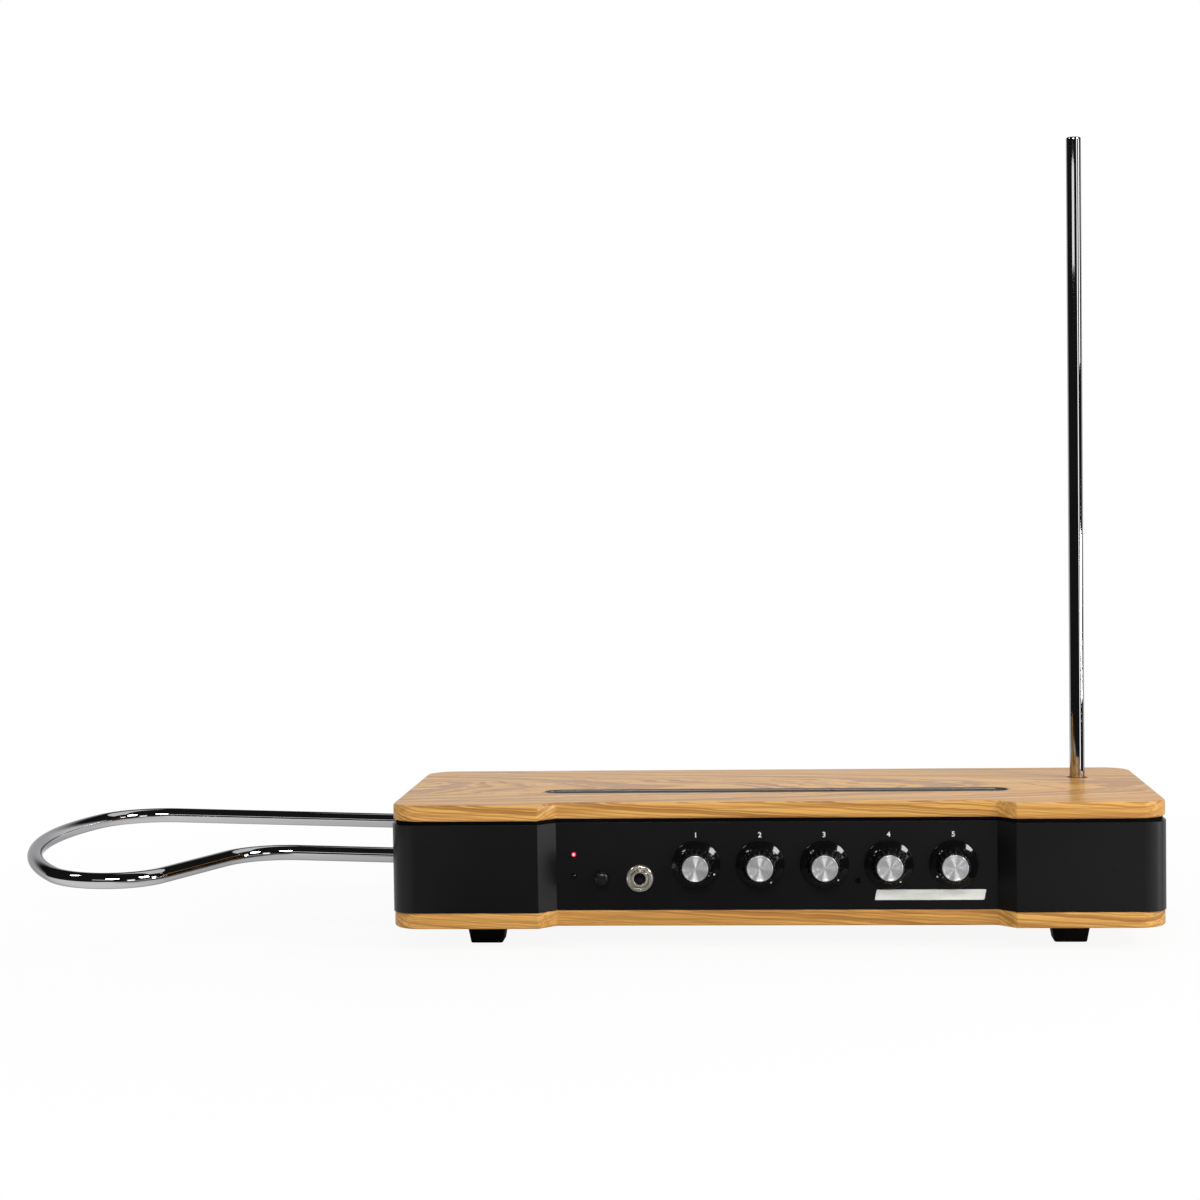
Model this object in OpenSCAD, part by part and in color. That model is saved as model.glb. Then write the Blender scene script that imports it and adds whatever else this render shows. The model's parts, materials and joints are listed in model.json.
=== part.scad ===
// Theremin: a wooden sandwich case with a black body, a vertical rod for
// pitch, a bent loop for volume and a recessed panel with five dials.
// Frame: origin on the axis of the stand socket, in the plane of the base
// panel's underside. +X to the right, +Y to the back, +Z up. Millimetres.

/* [Case] */
// Width of the case
case_w = 470; // [440:1:520]
// Depth of the case, front to back
case_d = 183; // [175:1:215]
// Radius of the case's corners, seen from above
corner_r = 18; // [14:0.5:22]
// Radius of the black body's corners, seen from above
body_r = 14; // [10:0.5:18]
// Thickness of the wooden base panel
base_t = 10; // [9:0.5:14]
// Height of the black body, with the gasket
body_h = 56; // [54:1:70]
// Thickness of the wooden top panel
top_t = 10; // [9:0.5:14]
// Thickness of the body's sheet metal
wall_t = 2.5; // [2:0.25:4]
// Height of the dark gasket under the top panel
gasket_h = 2.2; // [1:0.2:4]
// Distance of the gasket from the case's edge
gasket_inset = 1.5; // [1:0.25:2.5]
// Width of the gasket
gasket_w = 6; // [4:0.5:7]
// Width of the flat part of the front recess
recess_w = 268; // [262:1:290]
// Depth of the front recess
recess_d = 11; // [8:0.5:14]
// Width of each slanted facet beside the recess
facet_w = 10.4; // [6:0.2:14]

/* [Top tray] */
// Length of the dark tray in the top panel
tray_l = 294; // [240:1:330]
// Width of the tray
tray_w = 20; // [16:0.5:28]
// Distance of the tray's centre line from the front
tray_from_front = 67.5; // [50:0.5:90]
// Depth of the pocket that holds the tray
tray_t = 6; // [5:0.5:8]
// Depth of the tray's hollow
tray_hollow = 3; // [1.5:0.25:3.5]
// Width of the tray's rim
tray_rim = 1.2; // [0.8:0.1:2.5]

/* [Feet] */
// Height of each rubber foot
foot_h = 14; // [13.5:0.5:20]
// Side of a foot where it meets the base
foot_top_w = 24.5; // [21:0.5:30]
// Side of a foot where it stands
foot_low_w = 20; // [14:0.5:21]
// Radius of a foot's upright edges
foot_r = 1.8; // [1:0.1:3]
// Distance of the feet's centres from the case's ends
foot_in_x = 55; // [45:0.5:80]
// Distance of the feet's centres from the front and the back
foot_in_y = 41; // [24:0.5:48]

/* [Stand socket] */
// Radius of the threaded hole, 5/8 inch with 27 threads to the inch
stand_r = 7.5; // [6:0.1:8.5]
// Radius of the socket's hub
stand_hub_r = 13; // [11:0.5:16]
// Length of the hub below its flange
stand_hub_l = 8; // [5:0.5:9]
// Radius of the socket's flange
stand_flange_r = 30; // [26:0.5:40]
// Thickness of the flange
stand_flange_t = 3; // [2:0.25:4]
// Length of the sleeve inside the base panel
stand_sleeve_l = 6; // [4:0.5:7]
// Thickness of the sleeve's and the hub's wall above the flange
stand_wall = 3.5; // [2.5:0.25:5]

/* [Pitch antenna] */
// Radius of both antennas' rod, 3/8 inch across
rod_r = 4.7625; // [3.5:0.0125:5.5]
// Height of the pitch antenna above the top panel
pitch_h = 412.5; // [300:0.5:500]
// Distance of the pitch antenna from the right side
pitch_in_x = 39.3; // [32:0.1:60]
// Distance of the pitch antenna from the back
pitch_in_y = 55.3; // [30:0.1:80]
// Radius of the hole in the top panel
pitch_hole_r = 6.6; // [6.2:0.1:9]
// Depth of the pitch socket's mouth below the top
socket_drop = 3; // [1:0.5:5]
// Depth of the pitch socket's bore below the top panel
pitch_grip = 28; // [20:1:32]

/* [Volume antenna] */
// Distance of the loop's front leg from the front of the case
leg_in_front = 26.5; // [25:0.5:34]
// Distance of the loop's back leg from the back of the case
leg_in_back = 32.5; // [30:0.5:40]
// Height of the loop's middle above the base's underside
loop_z = 44; // [38:0.5:46]
// Rise of the loop towards its outer end, degrees
loop_rake = 1.7; // [0:0.1:2]
// Rise of the loop towards the back, degrees
loop_bank = 1.9; // [0:0.1:2.5]
// Length of the back leg outside the case, before its first bend
leg_l = 167; // [120:1:220]
// Radius of the back outer corner
bend_r = 50; // [40:1:70]
// Turn of the back outer corner, degrees
bend_turn = 68; // [60:1:75]
// Radius of the long outer side
side_r = 190; // [150:5:260]
// Turn of the long outer side, degrees
side_turn = 58; // [50:1:62]
// Radius of the round front end
nose_r = 37; // [30:1:45]
// Slant of the straight stretch back to the case, degrees
waist_turn = 66; // [55:1:75]
// Radius of the last bend before the front leg
waist_r = 45; // [35:1:55]
// Length of each leg inside its socket
leg_grip = 28; // [20:1:30]

/* [Dials] */
// Number of dials on the panel
dial_count = 5; // [5:1:5]
// Distance of the first dial from the panel's left end
dial_in_left = 85.6; // [84:0.1:88]
// Distance of the last dial from the panel's right end
dial_in_right = 26.4; // [22:0.1:30]
// Height of the dials above the base's underside
dial_z = 37.5; // [34:0.5:44]
// Radius of a dial's skirt
skirt_r = 14.9; // [13:0.1:17]
// Radius of the skirt where the grip starts
skirt_top_r = 11.3; // [10.5:0.1:12]
// Height of the skirt
skirt_h = 4.4; // [3.5:0.1:6]
// Radius of the grip at its front end
grip_r = 9.3; // [9:0.1:10]
// Height of a dial above the panel
dial_h = 17; // [16:0.1:20]
// Number of flutes round the grip
flutes = 18; // [14:1:24]
// Radius of each flute's cutter
flute_r = 1.5; // [1:0.1:1.6]
// Radius of the metal cap
cap_r = 7.9; // [6.5:0.1:8]
// Thickness of the metal cap
cap_t = 1.2; // [0.8:0.1:2]
// Gap between a dial and the panel
dial_lift = 0.6; // [0.4:0.1:1.2]
// Radius of the shafts
shaft_r = 3; // [2.5:0.05:3.2]
// Radius of the round control body behind the panel
pot_r = 8.5; // [7.5:0.1:9]
// Depth of the control body
pot_l = 9; // [7:0.5:11]
// Radius of the threaded bushing
bushing_r = 4; // [3.8:0.05:4.5]
// Length of the bushing in front of the panel
bushing_l = 3; // [2.6:0.1:3.4]
// Width across the flats of its nut
nut_flats = 11; // [10:0.5:11.5]
// Thickness of its nut
nut_t = 2; // [1.5:0.1:2.4]

/* [Phones jack and mute] */
// Distance of the phones jack from the panel's left end
phones_in = 51.2; // [49:0.1:54]
// Height of the phones jack
phones_z = 29.4; // [28.5:0.1:36]
// Radius of the hole for a 1/4 inch plug
plug_r = 3.25; // [3.2:0.01:3.4]
// Radius of the jack's bushing
jack_bush_r = 5.3; // [4.5:0.1:5.8]
// Radius of the jack's round nut
jack_nut_r = 8.3; // [7.5:0.1:9]
// Thickness of the jack's nut
jack_nut_t = 2.6; // [2:0.1:3.4]
// Side of the jack's body
jack_w = 15; // [13:0.5:16]
// Depth of the jack's body
jack_l = 24; // [20:0.5:28]
// Distance of the mute button from the panel's left end
mute_in = 27.8; // [26:0.1:30]
// Height of the mute button
mute_z = 29.5; // [28:0.1:36]
// Radius of the mute button
button_r = 4.35; // [3.5:0.05:5]
// Reach of the mute button in front of the panel
button_h = 6; // [4:0.1:8]
// Travel of the mute button
button_travel = 2; // [1:0.1:2.5]

/* [Lamps and plates] */
// Distance of the two lamps from the panel's left end
lamp_in = 10.8; // [8:0.1:15]
// Height of the power lamp
power_lamp_z = 44.2; // [40:0.1:48]
// Height of the mute lamp
mute_lamp_z = 31; // [28:0.1:36]
// Radius of a lamp
lamp_r = 1.5; // [1.2:0.1:2]
// Reach of a lamp in front of the panel
lamp_h = 1.6; // [1:0.1:2.4]
// Width of a lamp's collar behind the panel
lamp_collar = 0.6; // [0.4:0.1:1]
// Thickness of a lamp's collar
lamp_collar_t = 2; // [1.5:0.25:3]
// Distance of the bare plate's middle from the panel's right end
plate_in = 40.5; // [38:0.5:44]
// Height of the bare plate's middle
plate_z = 18.9; // [17:0.1:20]
// Length of the bare plate
plate_w = 66; // [40:1:68]
// Height of the bare plate
plate_h = 6.4; // [4:0.1:8]
// Slant of the plate's ends
plate_slant = 1.3; // [0:0.1:4]
// Thickness of the bare plate
plate_t = 0.8; // [0.5:0.1:1.5]
// Distance of the small panel screw from the middle between two dials
dot_off = 0.8; // [-1:0.1:1.5]
// Height of the small panel screw
dot_z = 27.7; // [24:0.1:32]

/* [Back] */
// Width of the window in the body's back
window_w = 330; // [320:1:360]
// Height of the window
window_h = 36; // [32:0.5:40]
// Overlap of the back panel behind the window's edge
back_lap = 6.5; // [5.5:0.5:7]
// Thickness of the back panel
back_t = 2; // [1.5:0.25:3]
// Height of the row of sockets in the back panel
back_z = 36; // [34:0.5:42]
// Position of the sound socket, to the right as seen from behind
sound_x = 110; // [100:1:130]
// Position of the first control socket, to the right as seen from behind
control_x = 60; // [40:1:70]
// Distance between the control sockets, each further left
control_gap = 25; // [18:1:30]
// Radius of the hole for a 3.5 mm plug
mini_r = 1.8; // [1.77:0.01:2]
// Radius of a control socket's bushing
mini_bush_r = 3; // [2.8:0.1:3.5]
// Side of a control socket's body
mini_w = 9; // [8:0.5:12]
// Depth of a control socket's body
mini_l = 13; // [10:0.5:18]
// Position of the power inlet, to the right as seen from behind
inlet_x = -90; // [-100:1:-80]
// Radius of the inlet's hole
inlet_r = 3.2; // [2.8:0.1:3.6]
// Radius of the inlet's nose
inlet_nose_r = 5.4; // [4.5:0.1:6]
// Depth of the inlet's hole
inlet_l = 9; // [7:0.5:11]
// Position of the power switch, to the right as seen from behind
switch_x = -125; // [-135:1:-115]
// Width of the switch's rocker
rocker_w = 14; // [10:0.5:18]
// Half the height of the rocker
rocker_half = 5; // [4:0.25:6]
// Tilt of the rocker each way, degrees
rocker_tilt = 8; // [4:0.5:10]

/* [Inside] */
// Width of the circuit board
board_w = 412; // [400:1:413]
// Depth of the circuit board
board_d = 132; // [110:1:134]
// Distance of the board's front edge from the case's front
board_from_front = 21.5; // [20:0.5:24]
// Thickness of the circuit board
board_t = 1.6; // [1:0.1:2.4]
// Height of the board's standoffs
standoff_h = 8; // [4:0.5:9]
// Radius of the standoffs
standoff_r = 3.5; // [2.5:0.25:5]
// Distance of the outer standoffs from the board's ends
standoff_in_x = 16; // [8:0.5:24]
// Distance of the front standoffs from the board's front edge
standoff_in_front = 10; // [6:0.5:14]
// Distance of the back standoffs from the board's back edge
standoff_in_back = 12; // [8:0.5:20]
// Radius of the corner posts
post_r = 5; // [4:0.25:5.5]
// Distance of the posts from the case's ends
post_in_x = 17; // [15:0.5:19]
// Distance of the posts from the front and the back
post_in_y = 14; // [12.5:0.5:14.5]
// Radius of the antenna coils
coil_r = 9; // [6:0.5:10]
// Height of the antenna coils
coil_h = 16; // [10:0.5:20]
// Thickness of a coil's two end plates
coil_end_t = 1.2; // [0.8:0.1:2]
// Depth of the winding below the end plates' rim
coil_step = 1.3; // [0.6:0.1:2]
// Distance of the coil rows from the board's ends
coil_in_x = 38; // [34:0.5:44]
// Distance of the first coil from the board's front edge
coil_in_front = 38; // [30:0.5:44]
// Distance between the coils of a row
coil_gap = 22; // [20:0.5:26]
// Side of a tuning can
can_w = 10; // [7:0.5:12]
// Height of a tuning can
can_h = 13; // [8:0.5:16]
// Radius of the hole in a tuning can
can_hole_r = 2; // [1:0.25:3]
// Distance of the nearer tuning cans from the middle
can_x = 85; // [75:1:90]
// Distance between neighbouring tuning cans, both ways
can_gap_x = 20; // [16:0.5:24]
// Distance of the back tuning cans from the board's back edge
can_in_back = 34; // [28:0.5:40]
// Distance between the two rows of tuning cans
can_gap_y = 24; // [18:0.5:30]
// Length of a chip
chip_l = 18; // [10:0.5:22]
// Width of a chip
chip_w = 7; // [5:0.5:9]
// Height of a chip
chip_h = 3.4; // [2:0.1:5]
// Distance between neighbouring chips
chip_gap_x = 25; // [20:0.5:28]
// Distance of the back chips from the board's back edge
chip_in_back = 30; // [24:0.5:40]
// Distance between the two rows of chips
chip_gap_y = 22; // [14:0.5:28]
// Radius of a capacitor
cap_body_r = 4; // [2.5:0.25:5]
// Height of a capacitor
cap_body_h = 10; // [6:0.5:14]
// Distance of the capacitors' middle from the middle of the board
cap_body_x = 126; // [120:1:132]
// Distance between the capacitors across the board
cap_gap_x = 12; // [11:0.5:14]
// Distance between the capacitors along the board's depth
cap_gap_y = 14; // [11:0.5:16]
// Distance of the last capacitor from the board's back edge
cap_in_back = 24; // [18:0.5:30]

/* [Fits] */
// Radial clearance of everything that turns or slides
run_gap = 0.05; // [0.02:0.01:0.1]
// Clearance round everything that is fixed in a hole
fixed_gap = 0.1; // [0.05:0.01:0.3]
// Gap under the end of a rod in its socket
seat_gap = 0.3; // [0.2:0.05:0.6]
// Radius of the case's and the feet's screws
screw_r = 2; // [1.5:0.1:2.5]
// Radius of the small screws
small_screw_r = 1.5; // [1.2:0.1:1.8]

/* [Hidden] */
$fn = 64;
cut = 1;

// Levels, from the base panel's underside upwards
base_z = base_t;
body_z = base_t + body_h;
shell_z = body_z - gasket_h;
top_z = body_z + top_t;
board_z = base_z + standoff_h;
board_top = board_z + board_t;

// Faces of the case
left_x = -case_w / 2;
front_y = -case_d / 2;
back_y = case_d / 2;
panel_y = front_y + recess_d;
back_face_y = back_y - wall_t;
facet_angle = atan2(recess_d, facet_w);

// Dials: where each pointer stands, clockwise from straight up
dial_rest = [116, 148, 138, 146.5, -125.7];
cap_floor = 2;
shaft_front = dial_h - cap_t - cap_floor;
shaft_back = 5;
nut_room = 1;
hub_room = bushing_l + nut_room;
hub_room_r = nut_flats / 2 / cos(30) + nut_room;
jack_proud = 0.6;
mini_proud = 0.5;
mini_nut_w = 1.6;
jack_end = 2;
grip_slope = atan2(skirt_top_r - grip_r, dial_h - skirt_h);

// Places along the front panel
panel_left = -recess_w / 2;
panel_right = recess_w / 2;
dial_x = panel_left + dial_in_left;
dial_gap = (panel_right - dial_in_right - dial_x) / (dial_count - 1);
phones_x = panel_left + phones_in;
mute_x = panel_left + mute_in;
lamp_x = panel_left + lamp_in;
plate_x = panel_right - plate_in;
dial_before_dot = 3;
dot_x = dial_x + (dial_before_dot - 0.5) * dial_gap + dot_off;

// Places that more than one piece needs
tray_y = front_y + tray_from_front;
pitch_x = case_w / 2 - pitch_in_x;
pitch_y = back_y - pitch_in_y;
loop_y = (leg_in_front - leg_in_back) / 2;
leg_gap = case_d - leg_in_front - leg_in_back;
post_x = case_w / 2 - post_in_x;
post_y = case_d / 2 - post_in_y;
foot_x = case_w / 2 - foot_in_x;
foot_y = case_d / 2 - foot_in_y;
board_y0 = front_y + board_from_front;
board_y1 = board_y0 + board_d;
standoff_xs = [-1, 0, 1] * (board_w / 2 - standoff_in_x);
standoff_ys = [board_y0 + standoff_in_front, board_y1 - standoff_in_back];
back_w = window_w + 2 * back_lap;
back_room = 1;
back_screw_in = 6.48;
back_h = min(window_h + 2 * back_lap, shell_z - base_z - back_room);
back_mid = (base_z + shell_z) / 2;

// Screws
head_r = 2 * screw_r;
head_h = 2.6;
small_head_r = 1.9 * small_screw_r;
small_head_h = 1.8;
bolt_reach = 6;
board_screw_reach = 3;
hole_end = 0.5;
head_room = 0.4;
foot_sink = 6;
foot_well_r = head_r + 1;
foot_edge_t = 0.2;
dot_r = 0.7 * small_screw_r;
dot_head_r = 1.15 * small_screw_r;
dot_head_h = 0.8;
flange_screw_r = (stand_hub_r + stand_flange_r) / 2;

// Ends of the rods
pitch_foot_edge = 0.6;
pitch_tip_round = 1.2;
pitch_tip_edge = 0.35;

// Profile of a dial and its cap
skirt_edge = 0.8;
skirt_step = 0.3;
grip_flare = 0.2;
dial_round = 1.6;
dial_round_in = 0.3;
dial_round_h = 0.5;
cap_wall = 0.5;
cap_proud = 0.3;
cap_edge = 0.3;
bore_end = 0.3;
flute_out = 0.525;

// Antenna sockets
socket_r = pitch_hole_r - fixed_gap;
socket_wall_r = rod_r + 1.8;
socket_half = 7;
socket_ear = 3;
socket_floor = 4;
socket_flange_r = socket_r + 9;
socket_screw_x = socket_r + 5;
socket_l = leg_grip + seat_gap + socket_floor;
socket_flange_t = 3;
pitch_floor = body_z - pitch_grip;
lead_r = 0.8;
lead_in = 3;

// The loop's outline, worked out in its own plane: X along the legs, Y
// across them, with the middle of the case's left side as the zero
corner_start = [-leg_l, leg_gap / 2];
side_start = turn_end(corner_start, 180, bend_r, bend_turn);
side_dir = 180 + bend_turn;
nose_start = turn_end(side_start, side_dir, side_r, side_turn);
nose_dir = side_dir + side_turn;
nose_turn = 360 + waist_turn - nose_dir;
waist_start = turn_end(nose_start, nose_dir, nose_r, nose_turn);
waist_rise = -leg_gap / 2 - waist_start[1] - waist_r * (1 - cos(waist_turn));
waist_l = waist_rise / sin(waist_turn);
last_start = waist_start + waist_l * [cos(waist_turn), sin(waist_turn)];
leg_start = last_start + waist_r * [sin(waist_turn), 1 - cos(waist_turn)];
// A tight bend draws the rod a little thinner, and it runs on into the
// stretches beside it
tight_r = rod_r - 0.05;
bend_over = 1;

// Mute switch, and the rounded end of its button
button_round = 1.8;
button_in = [0.5, 1.6];
button_drop = [0.8, 0.2];
button_top_r = 0.6;
stem_r = 1.5;
stem_l = 4.5;
button_back = 2.6;
well_l = button_travel + 3;
well_gap = 0.6;
mute_half = 6.5;
mute_body_l = 9;
stem_end = 1;

// Power inlet
inlet_w = 13;
inlet_d = 12;
inlet_end = 3;
inlet_pin_r = 1;
inlet_proud = 1;

// Power switch
pin_r = 1.2;
pin_l = 1.2;
rocker_gap = 0.35;
rocker_end_h = 2.2;
rocker_mid_h = 1.5;
rocker_skirt = 1.6;
rocker_keel = 4.6;
rocker_end_gap = 0.24;
rocker_room = sqrt(rocker_half * rocker_half + rocker_end_h * rocker_end_h) + rocker_end_gap;
frame_wall = 2.2;
frame_lip = 1;
frame_l = 12;
frame_room = 7;
frame_proud = 1.6;
pin_gap = 0.3;

// Helpers -----------------------------------------------------------------

// End of a left turn of radius r through the angle t, from p heading h
function turn_end(p, h, r, t) =
    p + r * [sin(h + t) - sin(h), cos(h) - cos(h + t)];

module rounded_rect(w, d, r) {
    square([w - 2 * r, d], center = true);
    square([w, d - 2 * r], center = true);
    for (sx = [-1, 1], sy = [-1, 1])
        translate([sx * (w / 2 - r), sy * (d / 2 - r)])
            circle(r = r);
}

// Outline of the case from above, drawn in by inset all round
module case_outline(inset = 0, r = corner_r) {
    half_w = recess_w / 2 + inset * tan(facet_angle / 2);
    deep_y = panel_y + inset;
    run = (recess_d + inset + cut) / sin(facet_angle);
    out_w = half_w + run * cos(facet_angle);
    out_y = deep_y - run * sin(facet_angle);
    difference() {
        rounded_rect(case_w - 2 * inset, case_d - 2 * inset, r - inset);
        polygon([[-half_w, deep_y], [-out_w, out_y], [out_w, out_y], [half_w, deep_y]]);
    }
}

module stadium(l, w) {
    square([l - w, w], center = true);
    for (sx = [-1, 1])
        translate([sx * (l - w) / 2, 0])
            circle(d = w);
}

module four_ways(x, y) {
    for (sx = [-1, 1], sy = [-1, 1])
        translate([sx * x, sy * y, 0])
            children();
}

// Front panel frame: +Z out of the panel, +Y up
module on_panel(x, z) {
    translate([x, panel_y, z])
        rotate([90, 0, 0])
            children();
}

// Back panel frame: +Z out of the panel, +Y up
module on_back(x, z) {
    translate([x, back_face_y, z])
        rotate([90, 0, 180])
            children();
}

module on_dial(i) {
    on_panel(dial_x + (i - 1) * dial_gap, dial_z)
        children();
}

// Loop frame: the tilted plane of the volume antenna
module in_loop() {
    translate([left_x, loop_y, loop_z])
        rotate([0, loop_rake, 0])
            rotate([loop_bank, 0, 0])
                children();
}

// Where a leg of the loop passes the case's side: -1 front, 1 back
function leg_y(side) = loop_y + side * cos(loop_bank) * leg_gap / 2;
function leg_z(side) = loop_z + side * sin(loop_bank) * leg_gap / 2;

module each_leg() {
    for (side = [-1, 1])
        translate([0, leg_y(side), leg_z(side)])
            children();
}

module tube(r, hole, h) {
    difference() {
        cylinder(r = r, h = h);
        translate([0, 0, -cut])
            cylinder(r = hole, h = h + 2 * cut);
    }
}

// Screw that points up from z = 0, with its head below
module screw_up(r, l, hr, hh) {
    cylinder(r = r, h = l);
    translate([0, 0, -hh])
        cylinder(r = hr, h = hh);
}

// Case --------------------------------------------------------------------

module top_panel() {
    color("burlywood")
    difference() {
        translate([0, 0, body_z])
            linear_extrude(top_t)
                case_outline();
        translate([0, tray_y, top_z - tray_t])
            linear_extrude(tray_t + cut)
                stadium(tray_l, tray_w);
        translate([pitch_x, pitch_y, body_z - cut])
            cylinder(r = pitch_hole_r, h = top_t + 2 * cut);
        four_ways(post_x, post_y)
            translate([0, 0, body_z - cut])
                cylinder(r = screw_r + fixed_gap, h = bolt_reach + hole_end + cut);
        translate([pitch_x, pitch_y, body_z - cut])
            socket_screw_places()
                cylinder(r = small_screw_r + fixed_gap, h = bolt_reach + cut);
    }
}

module base_panel() {
    color("burlywood")
    difference() {
        linear_extrude(base_t)
            case_outline();
        translate([0, 0, -cut])
            cylinder(r = stand_r + stand_wall + fixed_gap, h = stand_sleeve_l + hole_end + cut);
        stand_screw_places()
            translate([0, 0, -cut])
                cylinder(r = small_screw_r + fixed_gap, h = bolt_reach + hole_end + cut);
        four_ways(foot_x, foot_y)
            translate([0, 0, -cut])
                cylinder(r = screw_r + fixed_gap, h = bolt_reach + hole_end + cut);
        four_ways(post_x, post_y) {
            translate([0, 0, -cut])
                cylinder(r = screw_r + fixed_gap, h = base_t + 2 * cut);
            translate([0, 0, -cut])
                cylinder(r = head_r + fixed_gap, h = head_h + head_room + cut);
        }
        standoff_places()
            translate([0, 0, base_z - board_screw_reach - hole_end])
                cylinder(r = small_screw_r + fixed_gap, h = board_screw_reach + hole_end + cut);
    }
}

// Black sheet metal body: front with its recess, sides and back
module body_shell() {
    color([0.06, 0.06, 0.065])
    difference() {
        translate([0, 0, base_z])
            linear_extrude(shell_z - base_z)
                difference() {
                    case_outline(0, body_r);
                    case_outline(wall_t, body_r);
                }
        translate([-window_w / 2, back_y - wall_t - cut, back_mid - window_h / 2])
            cube([window_w, wall_t + 2 * cut, window_h]);
        back_screw_places()
            translate([0, 0, -cut])
                cylinder(r = small_screw_r + fixed_gap, h = wall_t + 2 * cut);
        for (i = [1 : dial_count])
            on_dial(i)
                panel_hole(bushing_r + fixed_gap);
        on_panel(phones_x, phones_z)
            panel_hole(jack_bush_r + fixed_gap);
        on_panel(mute_x, mute_z)
            panel_hole(button_r + run_gap);
        on_panel(lamp_x, power_lamp_z)
            panel_hole(lamp_r + fixed_gap);
        on_panel(lamp_x, mute_lamp_z)
            panel_hole(lamp_r + fixed_gap);
        on_panel(dot_x, dot_z)
            panel_hole(dot_r + fixed_gap);
        each_leg()
            translate([left_x - cut, 0, 0])
                rotate([0, 90, 0])
                    cylinder(r = socket_wall_r + fixed_gap, h = wall_t + 2 * cut);
    }
}

module panel_hole(r) {
    translate([0, 0, -wall_t - cut])
        cylinder(r = r, h = wall_t + 2 * cut);
}

module top_gasket() {
    color("black")
    translate([0, 0, shell_z])
        linear_extrude(gasket_h)
            difference() {
                case_outline(gasket_inset);
                case_outline(gasket_inset + gasket_w);
            }
}

// Dark tray let into the top panel
module top_tray() {
    color([0.12, 0.11, 0.1])
    translate([0, tray_y, top_z - tray_t])
        difference() {
            linear_extrude(tray_t)
                stadium(tray_l - 2 * fixed_gap, tray_w - 2 * fixed_gap);
            translate([0, 0, tray_t - tray_hollow])
                linear_extrude(tray_hollow + cut)
                    stadium(tray_l - 2 * tray_rim, tray_w - 2 * tray_rim);
        }
}

module blank_plate() {
    color("silver")
    on_panel(plate_x, plate_z)
        linear_extrude(plate_t)
            polygon([
                [-(plate_w + plate_slant) / 2, -plate_h / 2],
                [(plate_w - plate_slant) / 2, -plate_h / 2],
                [(plate_w + plate_slant) / 2, plate_h / 2],
                [-(plate_w - plate_slant) / 2, plate_h / 2]
            ]);
}

module feet() {
    color("black")
    four_ways(foot_x, foot_y)
        difference() {
            hull() {
                translate([0, 0, -foot_edge_t])
                    linear_extrude(foot_edge_t)
                        rounded_rect(foot_top_w, foot_top_w, foot_r, $fn = 16);
                translate([0, 0, -foot_h])
                    linear_extrude(foot_edge_t)
                        rounded_rect(foot_low_w, foot_low_w, foot_r, $fn = 16);
            }
            translate([0, 0, -foot_h - cut])
                cylinder(r = foot_well_r, h = foot_sink + cut);
            translate([0, 0, -foot_h])
                cylinder(r = screw_r + fixed_gap, h = foot_h + cut);
        }
}

module foot_screws() {
    color("silver")
    four_ways(foot_x, foot_y)
        translate([0, 0, foot_sink - foot_h])
            screw_up(screw_r, foot_h - foot_sink + bolt_reach, head_r, head_h);
}

// Flanged socket for a microphone stand, under the base panel
module stand_socket() {
    color("dimgray")
    difference() {
        union() {
            translate([0, 0, -stand_flange_t - stand_hub_l])
                cylinder(r = stand_hub_r, h = stand_hub_l + cut);
            translate([0, 0, -stand_flange_t])
                cylinder(r = stand_flange_r, h = stand_flange_t);
            translate([0, 0, -cut])
                cylinder(r = stand_r + stand_wall, h = stand_sleeve_l + cut);
        }
        translate([0, 0, -stand_flange_t - stand_hub_l - cut])
            cylinder(r = stand_r, h = stand_hub_l + stand_flange_t + stand_sleeve_l + 2 * cut);
        stand_screw_places()
            translate([0, 0, -stand_flange_t - cut])
                cylinder(r = small_screw_r + fixed_gap, h = stand_flange_t + 2 * cut);
    }
}

module stand_screw_places() {
    for (a = [45 : 90 : 315])
        rotate([0, 0, a])
            translate([flange_screw_r, 0, 0])
                children();
}

module stand_screws() {
    color("silver")
    stand_screw_places()
        translate([0, 0, -stand_flange_t])
            screw_up(small_screw_r, stand_flange_t + bolt_reach, small_head_r, small_head_h);
}

module corner_posts() {
    color("lightgray")
    four_ways(post_x, post_y)
        translate([0, 0, base_z])
            tube(post_r, screw_r + fixed_gap, body_h);
}

// Long bolts that clamp base, posts and top together
module case_bolts() {
    color("silver")
    four_ways(post_x, post_y)
        translate([0, 0, head_h + head_room])
            screw_up(screw_r, body_z + bolt_reach - head_h - head_room, head_r, head_h);
}

module back_panel() {
    color([0.06, 0.06, 0.065])
    difference() {
        translate([-back_w / 2, back_face_y - back_t, back_mid - back_h / 2])
            cube([back_w, back_t, back_h]);
        back_screw_places()
            back_hole(small_screw_r + fixed_gap);
        on_back(-sound_x, back_z)
            back_hole(jack_bush_r + fixed_gap);
        for (k = [0 : 2])
            on_back(-control_x + k * control_gap, back_z)
                back_hole(mini_bush_r + fixed_gap);
        on_back(-inlet_x, back_z)
            back_hole(inlet_nose_r + fixed_gap);
        on_back(-switch_x, back_z)
            translate([0, 0, -back_t / 2])
                cube([frame_w() + 2 * fixed_gap, frame_h() + 2 * fixed_gap,
                      back_t + 2 * cut], center = true);
    }
}

module back_hole(r) {
    translate([0, 0, -back_t - cut])
        cylinder(r = r, h = back_t + 2 * cut);
}

// Screws through the body's back, two on each side of the window
module back_screw_places() {
    x = window_w / 2 + back_lap / 2;
    for (sx = [-1, 1], sz = [-1, 1])
        on_back(sx * x, back_mid + sz * (window_h / 2 - back_screw_in))
            children();
}

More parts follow.
